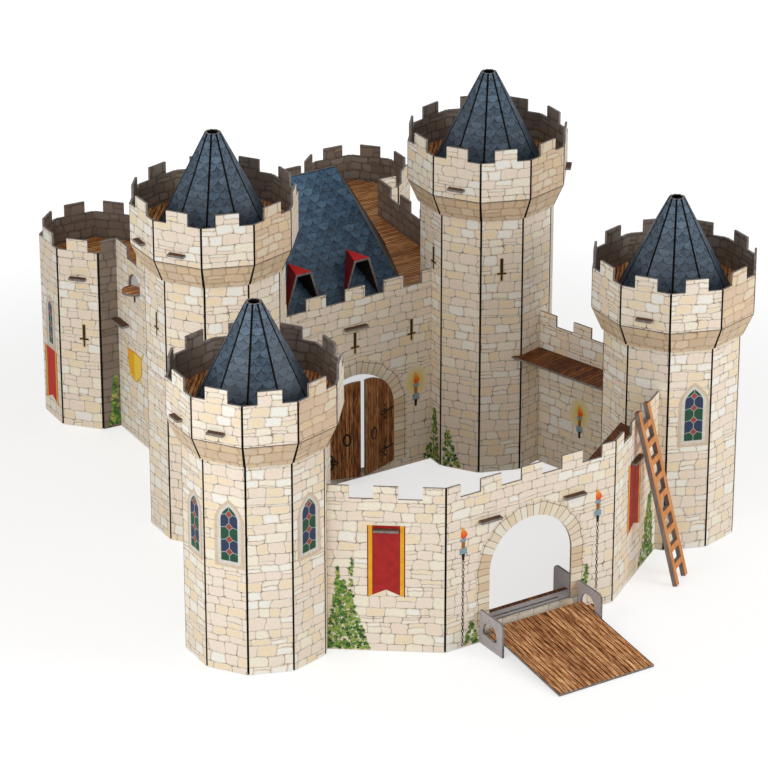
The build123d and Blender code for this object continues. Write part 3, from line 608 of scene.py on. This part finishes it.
def onWall(plane, flat, lift):  # point = wall's origin + right * x + upward * y + outward * lift
    points = plane["origin"] + flat[:, :1] * plane["right"] + flat[:, 1:] * (0, 0, 1)
    return points + plane["out"] * castle["printLift"] * lift


def gridFaces(rows, columns, start):  # the four corners of every cell in a grid of points
    index = np.arange(rows * columns).reshape(rows, columns) + start
    return np.stack([index[:-1, :-1], index[:-1, 1:], index[1:, 1:], index[1:, :-1]], -1).reshape(-1, 4)


def addPart(sheet, points, faces, uv, tone=0):  # plan millimetres, turned into the frame's metres
    points[:, :2] -= castle["planMiddle"]
    sheet["points"].append(points / 1000)
    sheet["faces"].append(faces)
    sheet["uv"].append(uv / 1000)
    sheet["tone"].append(np.full(len(points), tone))
    sheet["count"] += len(points)


def addGrid(sheet, plane, x, y, lift=1, origin=(0, 0), uv=None):  # its UV is measured from the origin
    flat = np.stack([x.ravel(), y.ravel()], 1)
    uv = flat - origin if uv is None else uv
    addPart(sheet, onWall(plane, flat, lift), gridFaces(*x.shape, sheet["count"]), uv)


def addBar(sheet, plane, middle, half, low, high, lift=1):  # a rectangle
    x, y = np.meshgrid(np.linspace(middle - half, middle + half, 3), np.linspace(low, high, 3))
    addGrid(sheet, plane, x, y, lift, (middle, low))


def addStroke(sheet, plane, x, y, width, lift=1.2):  # point = line + side * half the width
    x, y = np.asarray(x, float), np.asarray(y, float)
    runX, runY = np.gradient(x), np.gradient(y)
    length = np.hypot(runX, runY)
    side = np.array([-0.5, 0.5])[:, None] * width
    addGrid(sheet, plane, x - runY / length * side, y + runX / length * side, lift)


def outline(heights, halfWidths, middle, foot):  # rows of points as wide as the outline there
    x = middle + np.outer(halfWidths, np.linspace(-1, 1, 7))
    return x, np.repeat((foot + np.asarray(heights))[:, None], 7, 1)


def sheetPiece(name, sheet, finish):
    points, faces = np.concatenate(sheet["points"]), np.concatenate(sheet["faces"])
    mesh = bpy.data.meshes.new(name)
    mesh.from_pydata(points, [], faces)
    uv = np.concatenate(sheet["uv"])[faces.ravel()]
    mesh.uv_layers.new(name="panel").data.foreach_set("uv", uv.astype(np.float32).ravel())
    tone = mesh.attributes.new("tone", "FLOAT", "POINT")
    tone.data.foreach_set("value", np.concatenate(sheet["tone"]).astype(np.float32))
    mesh.materials.append(finish)
    return addPiece(name, mesh, "castle")


def flatPiece(name, sheet, look, dark, light, scale=200):  # a finish of two close tones
    sheetPiece(name, sheet, boardFinish(look, dark, light, scale, 1, (0.4, 0.55)))


# Windows: pointed panes of leaded glass in two rims
windows = {
    "places": [  # wall, place across, foot, width and height
        (shaftPlane("front_left", 0), 4, 117, 31, 73),
        (shaftPlane("front_left", 1), 4.7, 117, 32.4, 74),
        (shaftPlane("front_left", 3), 0, 119, 32.6, 72),
        (shaftPlane("front_right", 2), 5.1, 119.5, 33.5, 73.5),
        (bastionSide, 0.7, 84, 23.7, 67),
    ],
    "rim": 3.5,  # of each of the two
    "pitch": 13.7,  # from one red gem to the next
    "gem": (3.9, 4.2), "blue": (40, 56, 92), "green": (20, 84, 52), "cloud": (20, 44, 62),
    "lead": (176, 190, 186), "red": (160, 70, 54), "gemRim": (196, 204, 196),
}
outerFrames, innerFrames, panes = (newSheet() for _ in range(3))


def pointedArch(width, height, rows=22):  # straight jambs, then half width = 1 - part squared
    rise = 0.76 * width
    arc = height - rise + rise * np.sin(np.linspace(0, np.pi / 2, rows))
    up = np.concatenate([[0, (height - rise) * 0.5], arc])
    part = np.clip((up - (height - rise)) / rise, 0, 1)
    return up, np.maximum(width / 2 * (1 - part**2.0), 0.05)


def glassFinish(name):  # rows of blue and green in lead, and red where |x| / half + |y| / half < 1
    finish, uv, across, up = newPrint(name, 0.4, 0.5)
    row = over(timesPlus(times(across, across), 0.02, up), windows["pitch"])
    inRow = rest(row)
    near = times(calc("MINIMUM", inRow, minus(1, inRow)), windows["pitch"])
    aside = absolute(across)
    gem = plus(over(aside, windows["gem"][0]), over(near, windows["gem"][1]))
    other = odd(whole(row))
    cloud = between(noise(uv, 300), 0.3, 0.7, 0, 0.35)
    glass = blend(cloud, blend(other, windows["blue"], windows["green"]), windows["cloud"])
    leaded = blend(between(calc("MINIMUM", near, aside), 0.2, 0.55, 0.9, 0), glass, windows["lead"])
    red = blend(calc("LESS_THAN", gem, 1), leaded, windows["red"])
    rim = between(absolute(minus(gem, 1)), 0.04, 0.13, 0.9, 0)
    return dress(finish, blend(rim, red, windows["gemRim"]))


for plane, across, foot, width, height in windows["places"]:
    for sheet, rims, lift in ((outerFrames, 0, 1), (innerFrames, 1, 1.5), (panes, 2, 2)):
        cut = rims * windows["rim"]
        up, half = pointedArch(width - 2 * cut, height - 2.1 * cut)
        x, y = outline(up, half, across, foot + cut)
        addGrid(sheet, plane, x, y, lift, (across, foot + cut + 10.1))
flatPiece("windowSurrounds", outerFrames, "windowSurround", (214, 190, 162), (230, 210, 184))
flatPiece("windowFrames", innerFrames, "windowFrame", (214, 210, 198), (232, 229, 220))
sheetPiece("windowGlass", panes, glassFinish("leadedGlass"))
print("windows printed")

# Banners: red cloth, a yellow band at each side and a notched foot
banners = {
    "wide": [(wingLeft, -59.5, 141, 38, 80, 8.5), (wingRight, 59.5, 137, 38, 82, 8.5)],
    "slim": [(bastionSide, -1.7, 84, 32, 66, 8)],
    "yellow": ((0.3, (240, 160, 28)), (0.7, (252, 186, 48))),
    "bands": (5.9, 5.1, 1.1),  # where the dark line, the yellow band and the hem begin, from the side
    "line": (112, 26, 10), "hem": (128, 40, 14),
}


def bannerFinish(name, half, dark, light):
    finish, uv, across, up = newPrint(name)
    aside, cloud = absolute(across), noise(uv, 120, 3)
    drawn = tones(cloud, ((0.3, dark), (0.7, light)))
    for band, colour in zip(banners["bands"], (banners["line"], tones(cloud, banners["yellow"]), banners["hem"])):
        drawn = blend(above(aside, half - band), drawn, colour)
    return dress(finish, drawn, cloud, (0.45, 0.6))


def bannerSheet(places):  # rows from the top down to a notched foot
    sheet, side, drop = newSheet(), np.linspace(-1, 1, 9), np.linspace(0, 1, 9)
    for plane, middle, top, width, height, notch in places:
        foot = top - height + notch * (1 - np.abs(side))
        x = middle + np.repeat(side[None] * width / 2, 9, 0)
        addGrid(sheet, plane, x, top + (1 - drop)[:, None] * (foot - top)[None], 1, (middle, top))
    return sheet


wideFinish = bannerFinish("redBanner", 19, (160, 26, 24), (186, 36, 30))
slimFinish = bannerFinish("redBannerSlim", 16, (196, 34, 22), (222, 46, 30))
sheetPiece("gateBanners", bannerSheet(banners["wide"]), wideFinish)
sheetPiece("bastionBanner", bannerSheet(banners["slim"]), slimFinish)

# Arrow slits: a dark cross with a pale rim, narrower below its short arms
slits = {
    "places": [
        (bastionPlane(221), 5, 99.6, 126.5), (shaftPlane("back_left", 0), 2.9, 229.7, 256.2),
        (shaftPlane("back_right", 2), 0, 228, 254),
        (shaftPlane("back_right", 0), 6.5, 230, 256), (keepFace, -0.3, 151, 176),
        (keepFace, 72.3, 150, 175),
    ],
    "halves": (1.7, 1.15, 5.2),  # half widths above, below and of the arms
    "armDrop": 17.6, "armHalf": 1.05, "rim": 0.9,
}
slitDark, slitRims = newSheet(), newSheet()
(wide, slim, long), rim, armHalf = slits["halves"], slits["rim"], slits["armHalf"]
for plane, across, low, high in slits["places"]:
    arm = high - slits["armDrop"]
    addBar(slitRims, plane, across, wide + rim, low - rim, high + rim, 0.6)
    addBar(slitRims, plane, across, long + rim, arm - armHalf - rim, arm + armHalf + rim, 0.75)
    addBar(slitDark, plane, across, slim, low, arm)
    addBar(slitDark, plane, across, wide, arm, high)
    addBar(slitDark, plane, across, long, arm - armHalf, arm + armHalf, 1.3)
flatPiece("arrowSlits", slitDark, "arrowSlitDark", (48, 34, 18), (78, 56, 32))
flatPiece("arrowSlitRims", slitRims, "arrowSlitRim", (226, 202, 158), (240, 220, 182))

# Torches: flame, cup, stick and bracket, and two with their light on the wall
flames, cups, sticks, hooks, glows = (newSheet() for _ in range(5))
torch = {
    "places": [  # wall, place across, foot and height
        (gateFace, -82.2, 98.7, 37.5), (gateFace, 81.9, 97.7, 38), (keepFace, 78.2, 69, 42),
        (curtainFace, -0.6, 46, 40),
    ],
    "bars": [  # half width, foot and head as parts of the height, and lift
        (sticks, 2.1, 0.12, 0.6, 1.1), (cups, 3.4, 0.56, 0.66, 1.4),
        (cups, 4.4, 0.18, 0.36, 1.3), (hooks, 1.5, 0, 0.2, 1.5),
    ],
    "flame": ((0.1, (218, 52, 20)), (0.45, (244, 104, 28)), (0.85, (254, 166, 56))),
    "light": ((0.2, (234, 208, 104)), (0.6, (238, 220, 152)), (0.95, (244, 230, 202))), "glow": (15, 19),
    "glowMiddle": 0.72, "flameFoot": 0.64,
}
for plane, across, low, height in torch["places"]:
    if plane is not gateFace:
        part, turn = np.meshgrid(np.linspace(0, 1, 7), np.linspace(0, 2 * np.pi, 25))
        middle = low + torch["glowMiddle"] * height
        x = across + torch["glow"][0] * part * np.cos(turn)
        y = middle + torch["glow"][1] * part * np.sin(turn)
        addGrid(glows, plane, x.T[::-1], y.T[::-1], 0.7, (across, middle))
    rise, foot = np.linspace(0, 1, 11), low + torch["flameFoot"] * height
    swell = 3.7 * np.sin(np.pi * rise**0.6) ** 1.1 + 0.1
    x, y = outline(rise * 0.36 * height, swell, across, foot)
    addGrid(flames, plane, x + (0.9 * np.sin(rise * 5))[:, None], y, 1.6, (across, foot))
    for sheet, half, foot, head, lift in torch["bars"]:
        addBar(sheet, plane, across, half, low + foot * height, low + head * height, lift)


def flameFinish(name):  # red at the foot, orange at the tip
    finish, uv, across, up = newPrint(name)
    return dress(finish, tones(timesPlus(noise(uv, 260), 0.35, over(up, 16)), torch["flame"]))


def glowFinish(name):  # pale yellow in the middle, stone colour at the rim
    finish, uv, across, up = newPrint(name)
    place = pair(over(across, torch["glow"][0]), over(up, torch["glow"][1]))
    reach = grow("VectorMath", (place,), out="Value", operation="LENGTH")
    return dress(finish, tones(timesPlus(minus(noise(uv, 120), 0.5), 0.35, reach), torch["light"]))


sheetPiece("torchGlow", glows, glowFinish("torchGlow"))
sheetPiece("torchFlames", flames, flameFinish("torchFlame"))
flatPiece("torchCups", cups, "torchIron", (108, 142, 158), (168, 190, 198))
flatPiece("torchSticks", sticks, "torchStick", (136, 82, 36), (186, 124, 62))
print("banners, slits and torches printed")

# Chains: a row of flat oval links, every second one seen edge on
chains = {"ends": ((-82.2, 2, 98), (81.9, 22, 97)), "link": 4.6, "wide": 1.75, "thin": 0.8}
for across, low, high in chains["ends"]:
    count = int((high - low) / (chains["link"] * 0.82))
    turn = np.linspace(0, 2 * np.pi, 11)
    for k in range(count):
        half = chains["wide"] if k % 2 == 0 else chains["wide"] * 0.45
        ring = np.array([1, 1 - chains["thin"] / half * 0.9 if k % 2 == 0 else 0.05])
        centre = high - (k + 0.5) * (high - low) / count
        x = across + half * ring[::-1, None] * -np.sin(turn)[None]
        y = centre + (chains["link"] / 2) * ring[::-1, None] * np.cos(turn)[None]
        addGrid(hooks, gateFace, x, y, 1 + 0.15 * (k % 2), (across, low))
flatPiece("torchHooks", hooks, "chainBlack", (14, 13, 13), (44, 41, 40))

# Arch stones: a band along the jambs and round the arch of the gate and the keep
arches = {
    "places": ((gateFace, 50.2, 76, 20), (keepFace, 50.2, 75, 10)),  # radius, springing and sill
    "band": 16.5, "stone": 8,
    "shades": [(240, 224, 196), (246, 234, 210), (228, 204, 170), (248, 240, 222), (240, 222, 190)],
    "outside": (238, 224, 200), "lines": (136, 112, 88),
}


def addArch(sheet, plane, radius, springing, sill):  # point = inner line + outward * depth * rippled band
    bow, band = np.linspace(np.pi, 0, 49), arches["band"]
    jamb = np.linspace(sill, springing, 8)[:-1]
    outX = np.concatenate([np.full(7, -1), np.cos(bow), np.full(7, 1)])
    outY = np.concatenate([np.zeros(7), np.sin(bow), np.zeros(7)])
    inX, inY = radius * outX, springing + radius * outY
    inY[:7], inY[-7:] = jamb, jamb[::-1]
    steps = np.hypot(np.diff(inX + 8 * outX), np.diff(inY + 8 * outY))
    along = np.concatenate([[0], np.cumsum(steps)])
    depth = np.linspace(0, 1, 4)[:, None]
    ripple = band + 0.9 * np.sin(along / 4.1) + 0.6 * np.sin(along / 2.3 + 1)
    x, y = inX[None] + outX[None] * depth * ripple, inY[None] + outY[None] * depth * ripple
    uv = np.stack([np.repeat(along[None], 4, 0).ravel(), (depth * np.ones_like(along) * band).ravel()], 1)
    addGrid(sheet, plane, x, y, uv=uv)


def archFinish(name):  # a row of stones along the band, and a plain rim
    finish, uv, across, up = newPrint(name)
    sway = noise(uv, 70)
    line = over(timesPlus(minus(sway, 0.5), 3, across), arches["stone"])
    joint = times(cells(line, 0.45, "DISTANCE_TO_EDGE", "Distance"), arches["stone"])
    rimTop = minus(arches["band"] - 1.6, timesPlus(sway, 2.6, up))
    nearest = calc("SMOOTH_MIN", joint, absolute(rimTop), 1.6)
    pick = grow("SeparateColor", (cells(line, 0.45),))
    fill = tones(pick, [(0.14 + 0.18 * k, shade) for k, shade in enumerate(arches["shades"])], True)
    stone = blend(between(rimTop, -0.4, 0.4, 1, 0), fill, arches["outside"])
    return dress(finish, blend(between(nearest, 0.15, 0.6, 0.85, 0), stone, arches["lines"]), sway)


archStones = newSheet()
for place in arches["places"]:
    addArch(archStones, *place)
sheetPiece("archStones", archStones, archFinish("archStone"))
print("arches printed")

# Ivy: clumps of five pointed leaves, each a star of five faces
ivy = {
    "clumps": [  # wall, left, right, foot, top, number of leaves and lean
        (wingLeft, -121, -76, 0, 76, 470, -0.3), (wingLeft, -112, -106, 50, 92, 40, 0.2),
        (wingLeft, -99, -91, 40, 104, 50, 0.2), (wingRight, 78, 123, 0, 74, 390, 0.4),
        (wingRight, 108, 114, 60, 104, 22, 0.2), (keepFace, 86, 139, 0, 67, 430, 0.8),
        (shaftPlane("back_right", 0), 0, 22, 0, 63, 170, 0),
        (shaftPlane("back_right", 1), -20, 0, 0, 44, 100, -0.5),
        (gateFace, -80, -63, 0, 24, 50, 0), (gateFace, 64, 73, 30, 50, 30, 0),
        (bastionPlane(266), -17, -3.5, 0, 60, 150, 0.3),
    ],
    "size": (1.6, 3),
    "notch": 0.5,  # of the leaf's reach
    "lift": (1.3, 3.4),
    "steps": (0, 0.24, 0.46, 0.64, 0.86),
    "greens": ((44, 80, 34), (68, 112, 42), (104, 144, 58), (150, 176, 82), (206, 186, 106)),
}
leaves = newSheet()
rng = np.random.default_rng(11)


def addLeaves(sheet, plane, x0, y0, size, turn, lift, tone):
    # outline = ten points, every second one pulled in; face = middle, notch, tip, notch
    angle = turn[:, None] + np.arange(10) * np.pi / 5
    reach = size[:, None] * np.where(np.arange(10) % 2 == 0, ivy["notch"], 1)
    x = np.concatenate([x0[:, None], x0[:, None] + reach * np.cos(angle)], 1)
    y = np.concatenate([y0[:, None], y0[:, None] + reach * np.sin(angle)], 1)
    flat = np.stack([x.ravel(), np.maximum(y, 0.2).ravel()], 1)
    start = np.arange(len(x0))[:, None] * 11 + sheet["count"]
    notch = np.arange(5)[None] * 2
    faces = np.stack([start + 0 * notch, start + 1 + notch, start + 2 + notch, start + 1 + (notch + 2) % 10], -1)
    points = onWall(plane, flat, np.repeat(lift, 11)[:, None])
    uv = flat - np.stack([np.repeat(x0, 11), np.repeat(y0, 11)], 1)
    addPart(sheet, points, faces.reshape(-1, 4), uv, np.repeat(tone, 11))


for plane, left, right, low, high, count, lean in ivy["clumps"]:
    up = rng.random(count) ** 1.3
    spread = np.maximum((1 - up) ** 0.7, 0.2)
    middle = (left + right) / 2 + lean * (right - left) * 0.5 * up
    x0 = middle + (rng.random(count) - 0.5) * (right - left) * spread
    y0 = low + up * (high - low) + 2
    size, turn = rng.uniform(*ivy["size"], count), rng.uniform(0, 2 * np.pi, count)
    addLeaves(leaves, plane, x0, y0, size, turn, rng.uniform(*ivy["lift"], count), rng.random(count))


def leafFinish(name):  # each leaf's own tone picks a green
    finish, uv, across, up = newPrint(name)
    tone = wire(finish.node_tree, "Attribute", attribute_name="tone", out=2)
    mixed = timesPlus(tone, 0.75, times(noise(uv, 240), 0.3))
    return dress(finish, tones(mixed, list(zip(ivy["steps"], ivy["greens"])), True))


sheetPiece("ivyLeaves", leaves, leafFinish("ivyGreen"))
print("ivy printed:", leaves["count"], "points")

# Shield on the keep's left wall: a yellow field over two crossed staffs
shield = {
    "across": 41.2, "foot": 70.6, "width": 34, "height": 34.5, "straight": 0.45, "rim": 1.2,
    "staffs": (((60, 70.5), (13.3, 114.8)), ((22.5, 71.5), (64.3, 111.9))),  # low and high ends
    "left": (250, 184, 20), "right": (255, 218, 76),
}
staffs, shieldRim, shieldField = (newSheet() for _ in range(3))
for (lowX, lowY), (highX, highY) in shield["staffs"]:
    addStroke(staffs, leftWall, np.linspace(lowX, highX, 9), np.linspace(lowY, highY, 9), 2.3, 0.9)
for sheet, cut, lift in ((shieldRim, 0, 1.3), (shieldField, shield["rim"], 1.8)):
    # straight sides above, and below them half width = root of the height
    rise = np.linspace(0, 1, 17)
    half = (shield["width"] / 2 - cut) * np.maximum(np.minimum(rise / shield["straight"], 1) ** 0.55, 0.03)
    x, y = outline(rise * (shield["height"] - 2 * cut), half, shield["across"], shield["foot"] + cut)
    y = y + rise[:, None] ** 6 * 1.4 * np.cos(np.linspace(-1, 1, 7) * np.pi / 2)[None]
    addGrid(sheet, leftWall, x, y, lift, (shield["across"], shield["foot"]))


def halvedFinish(name):  # two fields that meet at the middle of a shape
    finish, uv, across, up = newPrint(name)
    cloud = noise(uv, 110, 3)
    side = between(timesPlus(minus(cloud, 0.5), 4, across), -2.5, -0.5)
    field = blend(side, shield["left"], shield["right"])
    return dress(finish, dimmed(field, between(cloud, 0.25, 0.75, 0.94, 1.03)))


flatPiece("shieldStaffs", staffs, "staffYellow", (206, 182, 70), (240, 222, 96), 90)
flatPiece("shieldRim", shieldRim, "shieldOrange", (214, 112, 24), (240, 146, 40))
sheetPiece("wallShield", shieldField, halvedFinish("shieldYellow"))

# Balcony: a bracket, a black strip as painted shadow under the balcony's edge, a slot and a shutter that stands
# ajar
balcony = {  # middle, half width, foot, head and lift of the dark bars
    # the second bar is the black strip along the balcony's underside: painted shadow
    "bars": ((45.1, 2.1, 168.6, 180.4, 1.2), (44.75, 12.75, 179.2, 180.9, 1.1), (77.1, 1.1, 211.9, 220.7, 1)),
    "hinge": 30.9, "facing": 200.78, "reach": 13.4, "foot": 183.8, "springing": 187, "inside": 2.9,
    "board": 1.2,
}
balconyDark, shutterSheet = newSheet(), newSheet()
for bar in balcony["bars"]:
    addBar(balconyDark, leftWall, *bar)
flatPiece("balconyBracketAndShade", balconyDark, "bracketAndEdgeShade", (26, 24, 24), (54, 50, 48))
hingeSpot = leftWall["origin"] + leftWall["right"] * balcony["hinge"] - leftWall["out"] * balcony["inside"]
reach = balcony["reach"]
rise = reach * np.sin(np.linspace(0, np.pi / 2, 12))
half = np.concatenate([[reach], np.sqrt(np.maximum(reach**2 - rise**2, 0.01))])
up = np.concatenate([[0], balcony["springing"] - balcony["foot"] + rise])
x, y = outline(up, half, reach, balcony["foot"])
addGrid(shutterSheet, wallPlane(hingeSpot[0], hingeSpot[1], balcony["facing"]), x, y, 0)
shutter = sheetPiece("balconyShutter", shutterSheet, finishes["shutter"])
thicken = shutter.modifiers.new("board", "SOLIDIFY")
thicken.thickness, thicken.offset = balcony["board"] / 1000, -1
print("shield and balcony printed")

# Iron on the door leaves: an oval ring and two straps with curled ends on each
iron = {
    "leaves": ((wallPlane(230, 263, -109), 1, 34), (wallPlane(330, 263, -71), -1, -35.2)), "ring": (4.2, 6.6),
    "ringHeight": 55.8, "band": 2.2, "heights": (75.6, 30.6),
    "strap": (np.array([1.2, 5, 9, 13, 16.5]), np.array([0.4, 0.2, 0, -0.3, -0.6])),
}
irons = newSheet()
circle, curl = np.linspace(0, 2 * np.pi, 25), np.linspace(0, 1, 9)
for plane, side, ringAcross in iron["leaves"]:
    band, (ringX, ringY) = iron["band"], iron["ring"]
    ringUp = iron["ringHeight"] + ringY * np.sin(circle)
    addStroke(irons, plane, ringAcross + ringX * np.cos(circle), ringUp, band, 2)
    for level in iron["heights"]:
        addStroke(irons, plane, side * iron["strap"][0], level + iron["strap"][1], band, 1.4)
        for upward in (-1, 1):
            hookX, hookY = side * (14 + 4.2 * np.sin(np.pi * curl)), level + upward * 9.5 * curl
            addStroke(irons, plane, hookX, hookY, band * 0.95, 1.6)
            tipX, tipY = side * (16 + 8 * curl), level - 0.6 + upward * 2.2 * np.sin(np.pi * curl)
            addStroke(irons, plane, tipX, tipY, band * 0.8, 1.8)
flatPiece("doorIron", irons, "doorIronBlack", (22, 18, 16), (46, 38, 34))
print("door iron printed")

# Roof lines: a thin line just over each hip and the ridge
ridgeLeft, ridgeRight = (225, 391, 315), (335, 391, 315)
roofLines = {
    "runs": (  # from, to and outward direction
        (ridgeLeft, ridgeRight, (0, 0, 1)),
        ((187.5, 300, 183.5), ridgeLeft, (-0.6, -0.7, 0.5)),
        ((372.5, 300, 183.5), ridgeRight, (0.6, -0.7, 0.5)),
        ((429, 436, 183.5), ridgeRight, (0.6, 0.7, 0.5)),
        ((131, 436, 183.5), ridgeLeft, (-0.6, 0.7, 0.5)),
    ),
    "width": 1.9, "lift": 0.25,
}
ribbons = newSheet()
for run in roofLines["runs"]:  # point = line between two places + side * half the width + out * lift
    start, end, out = (np.array(value) for value in run)
    along = (end - start) / np.linalg.norm(end - start)
    out = out - along * (out @ along)
    out /= np.linalg.norm(out)
    part, across = np.meshgrid(np.linspace(0.01, 0.99, 15), [-0.5, 0.5])
    side = roofLines["width"] * np.cross(out, along)
    points = start + part[..., None] * (end - start) + across[..., None] * side
    uv = np.stack([across.ravel(), part.ravel()], 1)
    addPart(ribbons, points.reshape(-1, 3) + out * roofLines["lift"], gridFaces(2, 15, ribbons["count"]), uv)
sheetPiece("roofLines", ribbons, finishes["trim"])
print("roof lines printed")

# Floor, light and camera
studio = {
    "sky": 0.49, "floor": 12, "floorDrop": 0.0004,
    "floorSeen": [0.47, 0.47, 0.47, 1], "floorLit": [0.74, 0.74, 0.74, 1], "floorReach": (0.5, 1.1),
    "floorWhite": (0.63, 0.86),  # near the castle and away from it
    "lamps": {  # place, aim, width and strength of each soft box
        "leftSoftbox": ((-1.15, -0.55, 0.6), (-0.15, 0, 0.12), 0.8, 5.5),
        "rightSoftbox": ((0.85, -1.25, 0.65), (0.15, 0, 0.15), 0.6, 6.5),
    },
    "from": (-2.0193, -3.2102, 1.8843), "at": (0.1874, 0.2667, 0), "lens": 183.37, "shift": (-0.0021, -0.0003),
}
floorMesh = bpy.data.meshes.new("studioFloor")
wide, low = studio["floor"], -studio["floorDrop"]
floorCorners = [(-wide, -wide, low), (wide, -wide, low), (wide, wide, low), (-wide, wide, low)]
floorMesh.from_pydata(floorCorners, [], [(0, 1, 2, 3)])
floorFinish = newFinish("paleFloor", 0.9, 0.1)
floorTree, floorInputs = floorFinish.node_tree, inputsOf(floorFinish)
rays = wire(floorTree, "LightPath")
dress(floorFinish, blend(rays, studio["floorLit"], studio["floorSeen"]))
floorInputs["Emission Color"].default_value = (1, 1, 1, 1)
floorPlace = wire(floorTree, "TexCoord", out=3)
away = grow("VectorMath", (floorPlace,), out="Value", operation="LENGTH")
glow = times(rays, between(away, *studio["floorReach"], *studio["floorWhite"]))
floorTree.links.new(glow, floorInputs["Emission Strength"])
floorMesh.materials.append(floorFinish)
addObject("studioFloor", floorMesh)

world = bpy.data.worlds.new("studioSky")
world.use_nodes = True
sky = world.node_tree
background = sky.nodes["Background"]
background.inputs["Color"].default_value = (1, 1, 1, 1)
skyRays = wire(sky, "LightPath")
strength = grow("Mix", {0: skyRays, 2: studio["sky"], 3: 1}, out=0, data_type="FLOAT")
sky.links.new(strength, background.inputs["Strength"])
bpy.context.scene.world = world

for lampName, (lampPlace, aim, width, power) in studio["lamps"].items():
    lamp = bpy.data.lights.new(lampName, "AREA")
    lamp.energy, lamp.size = power, width
    lampObject = addObject(lampName, lamp)
    lampObject.location = lampPlace
    lampObject.rotation_euler = (Vector(lampPlace) - Vector(aim)).to_track_quat("Z", "Y").to_euler()
    lampObject.visible_camera = False

cameraData = bpy.data.cameras.new("photoCamera")
cameraData.lens, cameraData.sensor_width = studio["lens"], 36
cameraData.shift_x, cameraData.shift_y = studio["shift"]
cameraData.clip_end = 60
camera = addObject("photoCamera", cameraData)
stand = Vector(studio["from"])
turned = (stand - Vector(studio["at"])).to_track_quat("Z", "Y").to_matrix().to_4x4()
camera.matrix_world = Matrix.Translation(stand) @ turned
bpy.context.scene.camera = camera
bpy.context.scene.view_settings.view_transform = "Standard"
print("studio ready")
